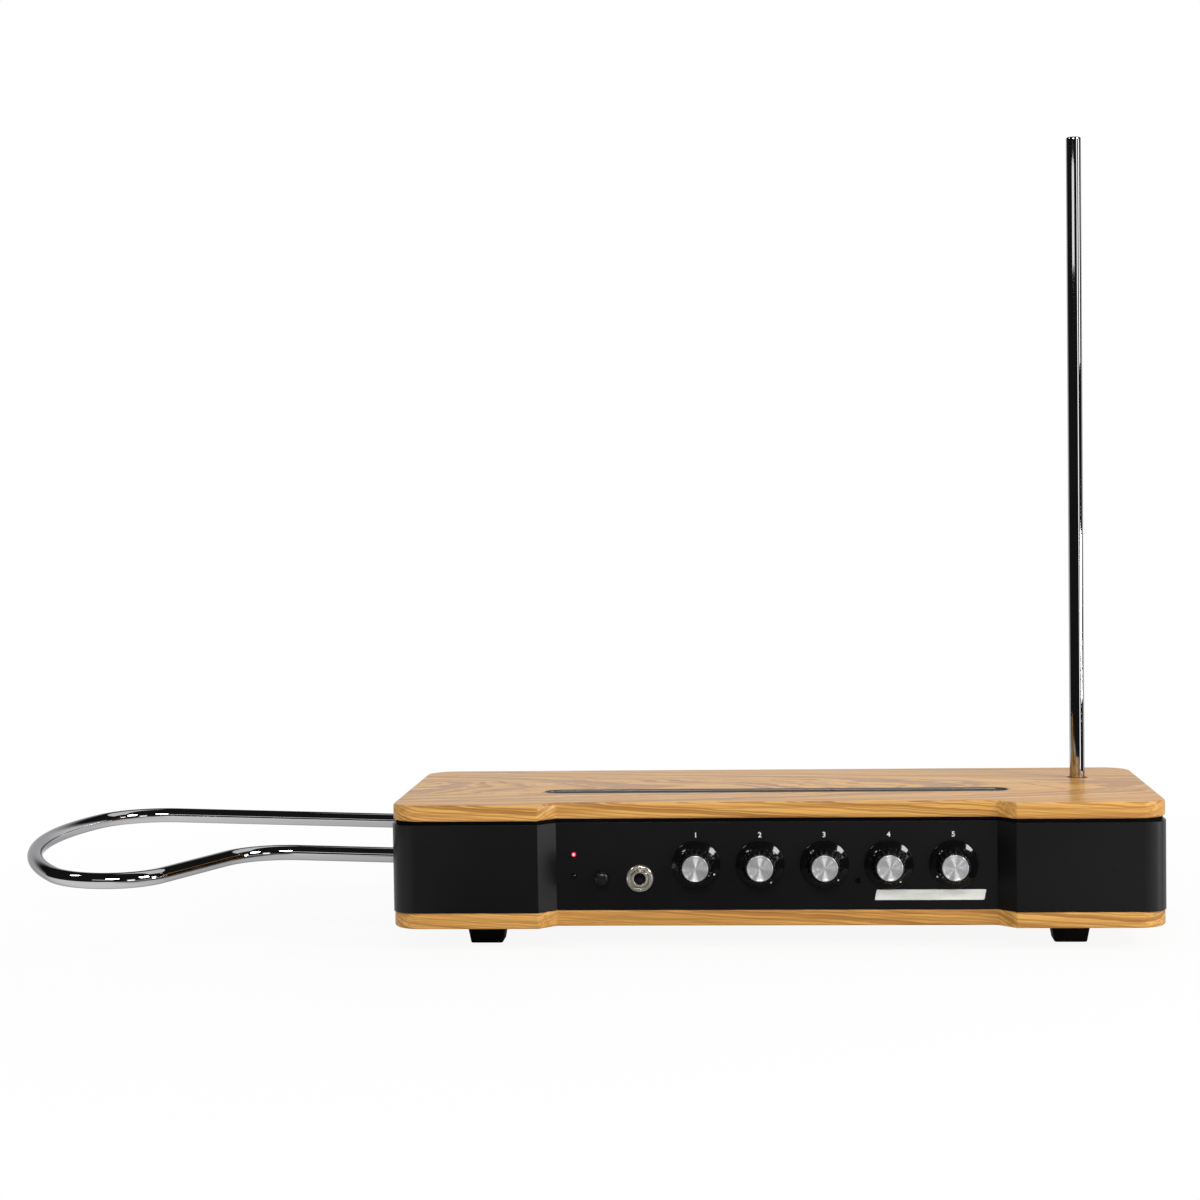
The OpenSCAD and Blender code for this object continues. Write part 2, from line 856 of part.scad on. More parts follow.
module panel_screws() {
    color("black") {
        back_screw_places()
            translate([0, 0, wall_t])
                mirror([0, 0, 1])
                    screw_up(small_screw_r, wall_t + back_t + board_screw_reach, small_head_r, small_head_h);
        on_panel(dot_x, dot_z)
            mirror([0, 0, 1])
                screw_up(dot_r, wall_t + board_screw_reach, dot_head_r, dot_head_h);
    }
}

// Circuit board and what stands on it ---------------------------------------

module standoff_places() {
    for (x = standoff_xs, y = standoff_ys)
        translate([x, y, 0])
            children();
}

module main_board() {
    color("darkgreen")
    difference() {
        translate([-board_w / 2, board_y0, board_z])
            cube([board_w, board_d, board_t]);
        standoff_places()
            translate([0, 0, board_z - cut])
                cylinder(r = small_screw_r + fixed_gap, h = board_t + 2 * cut);
    }
}

module board_standoffs() {
    color("gold")
    standoff_places()
        translate([0, 0, base_z])
            tube(standoff_r, small_screw_r + fixed_gap, standoff_h);
}

module board_screws() {
    color("silver")
    standoff_places()
        translate([0, 0, board_top])
            mirror([0, 0, 1])
                screw_up(small_screw_r, board_t + standoff_h + board_screw_reach, small_head_r, small_head_h);
}

// One wound coil on its bobbin, as one spool
module coil() {
    rotate_extrude()
        polygon([
            [0, 0], [coil_r, 0], [coil_r, coil_end_t], [coil_r - coil_step, coil_end_t],
            [coil_r - coil_step, coil_h - coil_end_t], [coil_r, coil_h - coil_end_t],
            [coil_r, coil_h], [0, coil_h]
        ]);
}

module coil_row(x) {
    for (k = [0 : 3])
        translate([x, board_y0 + coil_in_front + k * coil_gap, board_top])
            coil();
}

module pitch_coils() {
    color("saddlebrown")
    coil_row(board_w / 2 - coil_in_x);
}

module volume_coils() {
    color("saddlebrown")
    coil_row(coil_in_x - board_w / 2);
}

module tuning_cans() {
    color("silver")
    for (sx = [-1, 1], i = [0, 1], k = [0, 1])
        translate([sx * (can_x + i * can_gap_x), board_y1 - can_in_back - k * can_gap_y, board_top])
            difference() {
                translate([-can_w / 2, -can_w / 2, 0])
                    cube([can_w, can_w, can_h]);
                translate([0, 0, can_h - can_hole_r])
                    cylinder(r = can_hole_r, h = can_hole_r + cut);
            }
}

module board_chips() {
    color("black")
    for (i = [-2 : 2], k = [0, 1])
        translate([i * chip_gap_x - chip_l / 2,
                   board_y1 - chip_in_back - k * chip_gap_y - chip_w / 2, board_top])
            cube([chip_l, chip_w, chip_h]);
}

module capacitors() {
    color("navy")
    for (sx = [-1, 1], k = [0 : 3])
        translate([sx * cap_gap_x / 2 - cap_body_x, board_y1 - cap_in_back - k * cap_gap_y, board_top])
            cylinder(r = cap_body_r, h = cap_body_h);
}

// Straight wires from the antenna sockets down to the board
module antenna_leads() {
    color("orange") {
        translate([pitch_x, pitch_y, board_top])
            cylinder(r = lead_r, h = pitch_floor - seat_gap - socket_floor - board_top);
        for (side = [-1, 1])
            translate([left_x + wall_t + socket_l - lead_in, leg_y(side), board_top])
                cylinder(r = lead_r, h = leg_z(side) - socket_half - board_top);
    }
}

// Antenna sockets and antennas ----------------------------------------------

module socket_screw_places() {
    for (sx = [-1, 1])
        translate([sx * socket_screw_x, 0, 0])
            children();
}

module pitch_socket() {
    color("goldenrod")
    translate([pitch_x, pitch_y, 0])
        difference() {
            union() {
                translate([0, 0, pitch_floor - seat_gap - socket_floor])
                    cylinder(r = socket_r, h = top_z - socket_drop - pitch_floor
                                               + seat_gap + socket_floor);
                translate([0, 0, body_z - socket_flange_t])
                    cylinder(r = socket_flange_r, h = socket_flange_t);
            }
            translate([0, 0, pitch_floor - seat_gap])
                cylinder(r = rod_r + run_gap, h = top_z);
            translate([0, 0, body_z - socket_flange_t - cut])
                socket_screw_places()
                    cylinder(r = small_screw_r + fixed_gap, h = socket_flange_t + 2 * cut);
        }
}

// Sockets in the left side: straight bodies, bored along the tilted legs
module volume_sockets() {
    color("goldenrod")
    difference() {
        each_leg() {
            translate([left_x, 0, 0])
                rotate([0, 90, 0])
                    cylinder(r = socket_wall_r, h = wall_t + cut);
            translate([left_x + wall_t, -socket_half, -socket_half])
                cube([socket_l, 2 * socket_half, 2 * socket_half]);
            translate([left_x + wall_t, -socket_half, -socket_half - socket_ear])
                cube([socket_flange_t, 2 * socket_half, 2 * (socket_half + socket_ear)]);
        }
        in_loop()
            for (side = [-1, 1])
                translate([wall_t + leg_grip + seat_gap, side * leg_gap / 2, 0])
                    rotate([0, -90, 0])
                        cylinder(r = rod_r + run_gap, h = socket_l + wall_t + cut);
    }
}

module pitch_antenna() {
    l = top_z + pitch_h - pitch_floor;
    color("gainsboro")
    translate([pitch_x, pitch_y, pitch_floor])
        rotate_extrude()
            polygon([
                [0, 0], [rod_r - pitch_foot_edge, 0], [rod_r, pitch_foot_edge],
                [rod_r, l - pitch_tip_round], [rod_r - pitch_tip_edge, l - pitch_tip_edge],
                [rod_r - pitch_tip_round, l], [0, l]
            ]);
}

// Straight stretch of the loop's rod, from p heading h
module rod_run(p, h, l) {
    translate([p[0], p[1], 0])
        rotate([0, 0, h])
            rotate([0, 90, 0])
                cylinder(r = rod_r, h = l);
}

// Left turn of the loop's rod, from p heading h, running on by over at its ends
module rod_left(p, h, r, t, rod = rod_r, over = 0) {
    more = over / r * 180 / PI;
    translate([p[0] - r * sin(h), p[1] + r * cos(h), 0])
        rotate([0, 0, h - 90 - more])
            rotate_extrude(angle = t + 2 * more)
                translate([r, 0])
                    circle(r = rod);
}

// Right turn of the loop's rod, in the same way
module rod_right(p, h, r, t, rod = rod_r, over = 0) {
    more = over / r * 180 / PI;
    translate([p[0] + r * sin(h), p[1] - r * cos(h), 0])
        rotate([0, 0, h + 90 - t - more])
            rotate_extrude(angle = t + 2 * more)
                translate([r, 0])
                    circle(r = rod);
}

module volume_antenna() {
    inner = wall_t + leg_grip;
    color("gainsboro")
    in_loop() {
        rod_run([inner, leg_gap / 2], 180, inner + leg_l);
        rod_left(corner_start, 180, bend_r, bend_turn, tight_r, bend_over);
        rod_left(side_start, side_dir, side_r, side_turn);
        rod_left(nose_start, nose_dir, nose_r, nose_turn, tight_r, bend_over);
        rod_run(waist_start, waist_turn, waist_l);
        rod_right(last_start, waist_turn, waist_r, waist_turn, tight_r, bend_over);
        rod_run(leg_start, 0, inner - leg_start[0]);
    }
}

// Front panel ---------------------------------------------------------------

// Control behind the panel: round body, bushing and a bore for its shaft
module control(i) {
    color("slategray")
    on_dial(i)
        difference() {
            union() {
                translate([0, 0, -wall_t - pot_l])
                    cylinder(r = pot_r, h = pot_l);
                translate([0, 0, -wall_t - cut])
                    cylinder(r = bushing_r, h = wall_t + bushing_l + cut);
            }
            translate([0, 0, -wall_t - shaft_back - hole_end])
                cylinder(r = shaft_r + run_gap, h = wall_t + shaft_back + bushing_l + hole_end + cut);
        }
}

module control_nuts() {
    color("silver")
    for (i = [1 : dial_count])
        on_dial(i)
            difference() {
                cylinder(d = nut_flats / cos(30), h = nut_t, $fn = 6);
                translate([0, 0, -cut])
                    cylinder(r = bushing_r + fixed_gap, h = nut_t + 2 * cut);
            }
}

module shaft(i) {
    color("lightgray")
    on_dial(i)
        translate([0, 0, -wall_t - shaft_back])
            cylinder(r = shaft_r, h = wall_t + shaft_back + shaft_front);
}

// Dial: skirt with a conical edge, fluted grip and a pocket for its cap
module dial(i) {
    color([0.05, 0.05, 0.05])
    on_dial(i)
        rotate([0, 0, -dial_rest[i - 1]])
            difference() {
                rotate_extrude()
                    polygon([
                        [0, dial_lift], [skirt_r, dial_lift], [skirt_r, dial_lift + skirt_edge],
                        [skirt_top_r, skirt_h], [skirt_top_r - skirt_step, skirt_h + skirt_step],
                        [grip_r + grip_flare, dial_h - dial_round],
                        [grip_r - dial_round_in, dial_h - dial_round_h],
                        [cap_r + cap_wall, dial_h - cap_proud], [0, dial_h - cap_proud]
                    ]);
                cylinder(r = hub_room_r, h = hub_room);
                cylinder(r = shaft_r + run_gap, h = shaft_front + bore_end);
                translate([0, 0, dial_h - cap_t])
                    cylinder(r = cap_r + fixed_gap, h = cap_t + cut);
                for (k = [0 : flutes - 1])
                    rotate([0, 0, k * 360 / flutes])
                        translate([skirt_top_r + flute_out, 0, skirt_h + skirt_step])
                            rotate([0, -grip_slope, 0])
                                cylinder(r = flute_r, h = dial_h);
            }
}

module dial_cap(i) {
    color("lightgray")
    on_dial(i)
        translate([0, 0, dial_h - cap_t])
            rotate_extrude()
                polygon([[0, 0], [cap_r, 0], [cap_r, cap_t - cap_edge], [cap_r - cap_edge, cap_t], [0, cap_t]]);
}

// Jack with a round bushing and a square body behind its panel
module jack_body(bush_r, hole_r, w, l, panel_t, proud) {
    difference() {
        union() {
            translate([-w / 2, -w / 2, -panel_t - l])
                cube([w, w, l]);
            translate([0, 0, -panel_t - cut])
                cylinder(r = bush_r, h = panel_t + proud + cut);
        }
        translate([0, 0, jack_end - panel_t - l])
            cylinder(r = hole_r, h = panel_t + l + proud);
    }
}

module phones_jack() {
    color("black")
    on_panel(phones_x, phones_z)
        jack_body(jack_bush_r, plug_r, jack_w, jack_l, wall_t, jack_nut_t + jack_proud);
}

module phones_nut() {
    color("silver")
    on_panel(phones_x, phones_z)
        tube(jack_nut_r, jack_bush_r + fixed_gap, jack_nut_t);
}

// Push switch behind the panel, with a well for the button
module mute_switch() {
    well_z = -wall_t - well_l;
    stem_z = well_z - mute_body_l + stem_end;
    color("dimgray")
    on_panel(mute_x, mute_z)
        difference() {
            translate([-mute_half, -mute_half, well_z - mute_body_l])
                cube([2 * mute_half, 2 * mute_half, well_l + mute_body_l]);
            translate([0, 0, well_z])
                cylinder(r = button_r + well_gap, h = well_l + cut);
            translate([0, 0, stem_z])
                cylinder(r = stem_r + run_gap, h = well_z - stem_z + cut);
        }
}

module mute_button() {
    back = wall_t + button_back;
    color([0.05, 0.05, 0.05])
    on_panel(mute_x, mute_z) {
        rotate_extrude()
            polygon([
                [0, -back], [button_r, -back], [button_r, button_h - button_round],
                [button_r - button_in[0], button_h - button_drop[0]],
                [button_r - button_in[1], button_h - button_drop[1]],
                [button_top_r, button_h], [0, button_h]
            ]);
        translate([0, 0, -back - stem_l])
            cylinder(r = stem_r, h = stem_l + cut);
    }
}

// Round lamp with a collar behind the panel
module lamp(z) {
    on_panel(lamp_x, z) {
        translate([0, 0, -wall_t - lamp_collar_t])
            cylinder(r = lamp_r + lamp_collar, h = lamp_collar_t);
        translate([0, 0, -wall_t - cut])
            cylinder(r = lamp_r, h = wall_t + cut + lamp_h - lamp_r);
        translate([0, 0, lamp_h - lamp_r])
            sphere(r = lamp_r);
    }
}

module power_lamp() {
    color("red")
    lamp(power_lamp_z);
}

module mute_lamp() {
    color("darkred")
    lamp(mute_lamp_z);
}

// Back panel ----------------------------------------------------------------

module power_inlet() {
    color("black")
    on_back(-inlet_x, back_z) {
        difference() {
            union() {
                translate([-inlet_w / 2, -inlet_d / 2, -back_t - inlet_l - inlet_end])
                    cube([inlet_w, inlet_d, inlet_l + inlet_end]);
                translate([0, 0, -back_t - cut])
                    cylinder(r = inlet_nose_r, h = back_t + cut + inlet_proud);
            }
            translate([0, 0, inlet_proud - inlet_l])
                cylinder(r = inlet_r, h = inlet_l + cut);
        }
        translate([0, 0, -inlet_l])
            cylinder(r = inlet_pin_r, h = inlet_l);
    }
}

module sound_socket() {
    color("black")
    on_back(-sound_x, back_z)
        jack_body(jack_bush_r, plug_r, jack_w, jack_l, back_t, jack_nut_t + jack_proud);
}

module control_sockets() {
    color("black")
    for (k = [0 : 2])
        on_back(-control_x + k * control_gap, back_z)
            jack_body(mini_bush_r, mini_r, mini_w, mini_l, back_t, nut_t + mini_proud);
}

module socket_nuts() {
    color("silver") {
        on_back(-sound_x, back_z)
            tube(jack_nut_r, jack_bush_r + fixed_gap, jack_nut_t);
        for (k = [0 : 2])
            on_back(-control_x + k * control_gap, back_z)
                tube(mini_bush_r + mini_nut_w, mini_bush_r + fixed_gap, nut_t);
    }
}

// Outer size of the switch frame's body
function frame_w() = rocker_w + 2 * (rocker_gap + frame_wall);
function frame_h() = 2 * (rocker_room + frame_wall);

module switch_frame() {
    color("black")
    on_back(-switch_x, back_z)
        difference() {
            union() {
                translate([-frame_w() / 2, -frame_h() / 2, -back_t - frame_l])
                    cube([frame_w(), frame_h(), back_t + frame_l]);
                translate([-frame_w() / 2 - frame_lip, -frame_h() / 2 - frame_lip, 0])
                    cube([frame_w() + 2 * frame_lip, frame_h() + 2 * frame_lip, frame_proud]);
            }
            translate([-rocker_w / 2 - rocker_gap, -rocker_room, -frame_room])
                cube([rocker_w + 2 * rocker_gap, 2 * rocker_room, frame_room + frame_proud + cut]);
            translate([-rocker_w / 2 - pin_l - pin_gap, 0, 0])
                rotate([0, 90, 0])
                    cylinder(r = pin_r + run_gap, h = rocker_w + 2 * (pin_l + pin_gap));
        }
}

module power_rocker() {
    color([0.1, 0.1, 0.1])
    on_back(-switch_x, back_z)
        rotate([rocker_tilt, 0, 0]) {
            translate([-rocker_w / 2, 0, 0])
                rotate([90, 0, 90])
                    linear_extrude(rocker_w)
                        polygon([
                            [-rocker_half, -rocker_skirt], [-rocker_half, rocker_end_h], [0, rocker_mid_h],
                            [rocker_half, rocker_end_h], [rocker_half, -rocker_skirt], [0, -rocker_keel]
                        ]);
            translate([-rocker_w / 2 - pin_l, 0, 0])
                rotate([0, 90, 0])
                    cylinder(r = pin_r, h = rocker_w + 2 * pin_l);
        }
}

// Nodes ---------------------------------------------------------------------

top_panel();
base_panel();
body_shell();
back_panel();
top_gasket();
top_tray();
blank_plate();
feet();
foot_screws();
stand_socket();
stand_screws();
corner_posts();
case_bolts();
panel_screws();
main_board();
board_standoffs();
board_screws();
pitch_coils();
volume_coils();
tuning_cans();
board_chips();
capacitors();
control(1);  // control_1
control(2);  // control_2
control(3);  // control_3
control(4);  // control_4
control(5);  // control_5
control_nuts();
phones_jack();
phones_nut();
mute_switch();
power_lamp();
mute_lamp();
power_inlet();
sound_socket();
control_sockets();
socket_nuts();
switch_frame();
pitch_socket();
volume_sockets();
antenna_leads();
pitch_antenna();
volume_antenna();
mute_button();
power_rocker();
dial(1);  // dial_1
dial(2);  // dial_2
dial(3);  // dial_3
dial(4);  // dial_4
dial(5);  // dial_5
dial_cap(1);  // dial_cap_1
dial_cap(2);  // dial_cap_2
dial_cap(3);  // dial_cap_3
dial_cap(4);  // dial_cap_4
dial_cap(5);  // dial_cap_5
shaft(1);  // shaft_1
shaft(2);  // shaft_2
shaft(3);  // shaft_3
shaft(4);  // shaft_4
shaft(5);  // shaft_5
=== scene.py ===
import json
import math

import bmesh
import bpy
from mathutils import Matrix, Vector
from mathutils.geometry import tessellate_polygon


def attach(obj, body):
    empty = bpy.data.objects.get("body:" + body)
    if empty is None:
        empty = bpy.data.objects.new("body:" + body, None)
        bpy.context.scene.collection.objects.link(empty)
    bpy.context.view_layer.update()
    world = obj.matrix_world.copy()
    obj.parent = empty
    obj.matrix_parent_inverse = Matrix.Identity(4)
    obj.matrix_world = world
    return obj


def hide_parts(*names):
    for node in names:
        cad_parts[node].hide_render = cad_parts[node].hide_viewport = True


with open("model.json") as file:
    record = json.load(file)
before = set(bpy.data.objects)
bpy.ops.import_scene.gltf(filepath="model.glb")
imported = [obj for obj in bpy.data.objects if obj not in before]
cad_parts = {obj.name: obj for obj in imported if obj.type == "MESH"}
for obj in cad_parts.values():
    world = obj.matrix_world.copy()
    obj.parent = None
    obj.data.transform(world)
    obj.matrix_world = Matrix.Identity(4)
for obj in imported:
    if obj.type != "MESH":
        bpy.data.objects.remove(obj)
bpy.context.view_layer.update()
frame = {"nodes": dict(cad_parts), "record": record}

MM = 0.001
NODES = frame["nodes"]
rad = math.radians

# ------------------------------------------------------------------ sizes, in mm
CASE_W, CASE_D, CORNER_R = 470.0, 183.0, 18.0
FRONT_Y, PANEL_Y, BACK_Y, BACK_FACE_Y = -91.5, -80.5, 91.5, 89.0
LEFT_X = -235.0
RECESS_W, FACET_W, RECESS_D = 268.0, 10.4, 11.0
BASE_T, BODY_Z, TOP_Z = 10.0, 66.0, 76.0
TOP_EDGE_R, BASE_EDGE_R = 1.5, 1.3
TRAY_Y, TRAY_L, TRAY_W, TRAY_T = -24.0, 294.0, 20.0, 6.0
ROD_R = 4.7625
PITCH_X, PITCH_Y, PITCH_HOLE_R, PITCH_FLOOR, PITCH_TOP = 195.7, 36.2, 6.6, 38.0, 488.5
LOOP_Y, LOOP_Z, LEG_GAP, RAKE, BANK, LEG_L, INNER = -3.0, 44.0, 124.0, 1.7, 1.9, 167.0, 30.5
# the loop's bends from the back leg on: radius and degrees turned; the last one turns back onto the front leg
LOOP_BENDS = ((50.0, 68.0), (190.0, 58.0), (37.0, 120.0))
NECK_R, NECK_TURN = 45.0, 66.0
DIAL_X, DIAL_GAP, DIAL_Z = -48.4, 39.0, 37.5
DIAL_REST = [116, 148, 138, 146.5, -125.7]
SKIRT_R, SKIRT_TOP_R, SKIRT_H, GRIP_R = 14.9, 11.3, 4.4, 9.3
DIAL_H, CAP_R, CAP_T, LIFT, FLUTES = 17.0, 7.9, 1.2, 0.6, 18
DIAL_BORE, CONE_R = 3.1, 10.95
NUMERAL_Z, NUMERAL_H = 55.6, 4.4
# places on the panel: x and z
PHONES, MUTE, BARE_PLATE, SMALL_SCREW = (-82.8, 29.4), (-106.2, 29.5), (93.5, 18.9), (49.9, 27.7)
LAMP_X, POWER_LAMP_Z, MUTE_LAMP_Z = -123.2, 44.2, 31.0
BUSH_R, NUT_R, NUT_T, PLUG_R = 5.3, 8.3, 2.6, 3.25
# sockets on the back: x, bush radius, nut radius, nut thickness
BACK_SOCKETS = ((-110.0, BUSH_R, NUT_R, NUT_T), (-60.0, 3.0, 4.6, 2.0), (-35.0, 3.0, 4.6, 2.0),
                (-10.0, 3.0, 4.6, 2.0))
BACK_SOCKET_Z = 36.0
BACK_SCREW_X, BACK_SCREW_Z, BACK_SCREW_OFF = 168.25, 36.9, 11.52
POST_X, POST_Y, FOOT_X, FOOT_Y, FOOT_H = 218.0, 77.5, 180.0, 50.5, 14.0
FOOT_SCREW_Z, BOLT_SEAT_Z, STAND_SCREW_R, STAND_SCREW_Z = -8.0, 3.0, 21.5, -3.0
THREAD_PITCH = 0.94
# screws: head radius and height, half the socket's width, shank radius
BIG_HEAD, SMALL_HEAD = (4.0, 2.6, 1.5, 2.0), (2.85, 1.8, 1.1, 1.5)
CORNERS = [(sx, sy) for sx in (-1, 1) for sy in (-1, 1)]
# floor, metres from the middle
FLOOR_NEAR, FLOOR_FADE, FLOOR_END = 0.30, 0.72, 1.0


# ------------------------------------------------------------------ camera, fitted to the photograph's edges
FOCAL_PX, PHOTO_PX, SENSOR_MM = 2473.4, 1200, 36.0
CAMERA_AT = (4.44, -1581.15, 268.95)
CAMERA_YAW, CAMERA_PITCH, CAMERA_ROLL = 4.162, 2.624, -0.847


def place_camera():
    data = bpy.data.cameras.new("camera")
    cam = bpy.data.objects.new("camera", data)
    bpy.context.scene.collection.objects.link(cam)
    data.sensor_fit = "HORIZONTAL"
    data.sensor_width = SENSOR_MM
    data.lens = FOCAL_PX / PHOTO_PX * SENSOR_MM
    data.clip_start = 0.05
    data.clip_end = 60.0
    yaw, pitch, roll = rad(CAMERA_YAW), rad(CAMERA_PITCH), rad(CAMERA_ROLL)
    fwd = Vector((-math.sin(yaw) * math.cos(pitch), math.cos(yaw) * math.cos(pitch), -math.sin(pitch)))
    right = Vector((math.cos(yaw), math.sin(yaw), 0))
    up = right.cross(fwd)
    r2 = right * math.cos(roll) + up * math.sin(roll)
    u2 = up * math.cos(roll) - right * math.sin(roll)
    m = Matrix((r2, u2, -fwd)).transposed().to_4x4()
    m.translation = Vector(CAMERA_AT) * MM
    cam.matrix_world = m
    bpy.context.scene.camera = cam


place_camera()


# ------------------------------------------------------------------ mesh helpers
def make(name, verts, faces, mat, smooth=40):
    """Mesh object from points in mm; edges sharper than smooth degrees stay sharp."""
    me = bpy.data.meshes.new(name)
    me.from_pydata([Vector(v) * MM for v in verts], [], faces)
    me.validate()
    me.update()
    me.shade_smooth()
    me.set_sharp_from_angle(angle=rad(smooth))
    me.materials.append(mat)
    o = bpy.data.objects.new(name, me)
    bpy.context.scene.collection.objects.link(o)
    return o


def around(n):
    """n angles round a full turn."""
    return [2 * math.pi * i / n for i in range(n)]


def loft(rings, start=True, end=True):
    """Verts and faces of rings joined one to the next, all with as many points."""
    n = len(rings[0])
    verts = [p for ring in rings for p in ring]
    faces = []
    for k in range(len(rings) - 1):
        for i in range(n):
            j = (i + 1) % n
            faces.append((k * n + i, k * n + j, (k + 1) * n + j, (k + 1) * n + i))
    if start:
        faces.append(tuple(range(n - 1, -1, -1)))
    if end:
        last = (len(rings) - 1) * n
        faces.append(tuple(range(last, last + n)))
    return verts, faces


def join(*parts):
    """Several (verts, faces) as one."""
    verts, faces = [], []
    for v, f in parts:
        base = len(verts)
        verts += list(v)
        faces += [tuple(i + base for i in face) for face in f]
    return verts, faces


def turned(profile, seg=64, start=True, end=True, wave=None):
    """Lathe about +Z: profile is a list of (r, z). wave(k, angle, r) gives the radius of ring k at an angle."""
    rings = []
    for k, (r, z) in enumerate(profile):
        ring = []
        for a in around(seg):
            rr = wave(k, a, r) if wave else r
            ring.append((rr * math.cos(a), rr * math.sin(a), z))
        rings.append(ring)
    return loft(rings, start, end)


def moved(part, matrix):
    v, f = part
    return [tuple(matrix @ Vector(p)) for p in v], f


def flipped(part):
    v, f = part
    return v, [tuple(reversed(face)) for face in f]


def recalc(o):
    """Joins points that coincide and turns all faces outward."""
    bm = bmesh.new()
    bm.from_mesh(o.data)
    bmesh.ops.remove_doubles(bm, verts=bm.verts, dist=1e-7)
    bmesh.ops.recalc_face_normals(bm, faces=bm.faces)
    bm.to_mesh(o.data)
    bm.free()
    return o


def to_front(x, z, y=PANEL_Y):
    """Turns local +Z out of the front panel, at (x, z)."""
    return Matrix.Translation((x, y, z)) @ Matrix.Rotation(rad(90), 4, "X")


def to_back(x, z, y=BACK_FACE_Y):
    """Turns local +Z out of the back, at (x, z)."""
    return Matrix.Translation((x, y, z)) @ Matrix.Rotation(rad(-90), 4, "X")


def circle_points(r, x0=0.0, y0=0.0, seg=40):
    return [(x0 + r * math.cos(a), y0 + r * math.sin(a)) for a in around(seg)]


def circle_ring(r, z, seg):
    return [(x, y, z) for x, y in circle_points(r, seg=seg)]


def hexagon(flat, z, seg):
    """A hexagon as a ring of seg points that match a circle's."""
    out = []
    for a in around(seg):
        r = flat / math.cos(a % (math.pi / 3) - math.pi / 6)
        out.append((r * math.cos(a), r * math.sin(a), z))
    return out


def fillet(points, radii, seg=8):
    """Closed outline with each corner rounded; the same number of points for any radii."""
    out = []
    n = len(points)
    for i, (p, r) in enumerate(zip(points, radii)):
        a, b = Vector(points[i - 1]), Vector(points[(i + 1) % n])
        p = Vector(p)
        u, v = (a - p).normalized(), (b - p).normalized()
        half = u.angle(v) / 2
        d = r / math.tan(half)
        c = p + (u + v).normalized() * (r / math.sin(half))
        s, e = p + u * d, p + v * d
        a0 = math.atan2(s.y - c.y, s.x - c.x)
        a1 = math.atan2(e.y - c.y, e.x - c.x)
        da = (a1 - a0 + math.pi) % (2 * math.pi) - math.pi
        for k in range(seg + 1):
            t = a0 + da * k / seg
            out.append((c.x + r * math.cos(t), c.y + r * math.sin(t)))
    return out


# ------------------------------------------------------------------ shader helpers
class Nodes:
    """Short names for building a node tree."""

    def __init__(self, tree):
        self.nt = tree

    def put(self, sock, value):
        """Links an input to another node's output, or sets it to a value."""
        if isinstance(value, bpy.types.NodeSocket):
            self.nt.links.new(value, sock)
        elif hasattr(sock.default_value, "__len__") and len(value) == 3 and len(sock.default_value) == 4:
            sock.default_value = (*value, 1)
        else:
            sock.default_value = value

    def node(self, kind, ins=None, **props):
        n = self.nt.nodes.new(kind)
        for k, v in props.items():
            setattr(n, k, v)
        for k, v in (ins or {}).items():
            self.put(n.inputs[k], v)
        return n

    def xyz(self, vec):
        return self.node("ShaderNodeSeparateXYZ", {0: vec}).outputs

    def math(self, op, a, b=0.0, c=0.0):
        return self.node("ShaderNodeMath", {0: a, 1: b, 2: c}, operation=op).outputs[0]

    def length(self, a, b):
        return self.math("SQRT", self.math("ADD", self.math("MULTIPLY", a, a), self.math("MULTIPLY", b, b)))

    def dot(self, vec, way):
        return self.node("ShaderNodeVectorMath", {0: vec, 1: way}, operation="DOT_PRODUCT").outputs["Value"]

    def span(self, v, a, b, lo=0.0, hi=1.0, smooth=False):
        n = self.node("ShaderNodeMapRange", {"Value": v, "From Min": a, "From Max": b, "To Min": lo, "To Max": hi})
        n.interpolation_type = "SMOOTHSTEP" if smooth else "LINEAR"
        return n.outputs[0]

    def shine(self, kind, strength):
        return self.node(kind, {"Color": (1, 1, 1), "Strength": strength}).outputs[0]

    def blend(self, share, a, b):
        """Shader a where share is 0, shader b where it is 1."""
        return self.node("ShaderNodeMixShader", {0: share, 1: a, 2: b}).outputs[0]


class Graph(Nodes):
    """One material's nodes."""

    def __init__(self, name):
        self.mat = bpy.data.materials.new(name)
        self.mat.use_nodes = True
        super().__init__(self.mat.node_tree)
        self.bsdf = next(n for n in self.nt.nodes if n.type == "BSDF_PRINCIPLED")
        self._obj = None

    def set(self, **values):
        for key, value in values.items():
            self.put(self.bsdf.inputs[key.replace("_", " ")], value)

    def obj(self):
        if self._obj is None:
            self._obj = self.node("ShaderNodeTexCoord").outputs["Object"]
        return self._obj

    def scaled(self, vec, sx, sy, sz, loc=(0, 0, 0)):
        return self.node("ShaderNodeMapping", {"Vector": vec, "Location": loc, "Scale": (sx, sy, sz)}).outputs[0]

    def noise(self, vec, scale=1.0, detail=4.0, rough=0.5):
        n = self.node("ShaderNodeTexNoise", {"Vector": vec, "Scale": scale, "Detail": detail, "Roughness": rough})
        return n.outputs[0]

    def mix(self, fac, a, b):
        return self.node("ShaderNodeMix", {0: fac, 6: a, 7: b}, data_type="RGBA").outputs[2]

    def bump(self, height, strength=0.3, distance=0.0002, normal=None):
        ins = {"Height": height, "Strength": strength, "Distance": distance}
        if normal is not None:
            ins["Normal"] = normal
        return self.node("ShaderNodeBump", ins).outputs[0]

    def bevel(self, radius):
        return self.node("ShaderNodeBevel", {"Radius": radius}, samples=6).outputs[0]


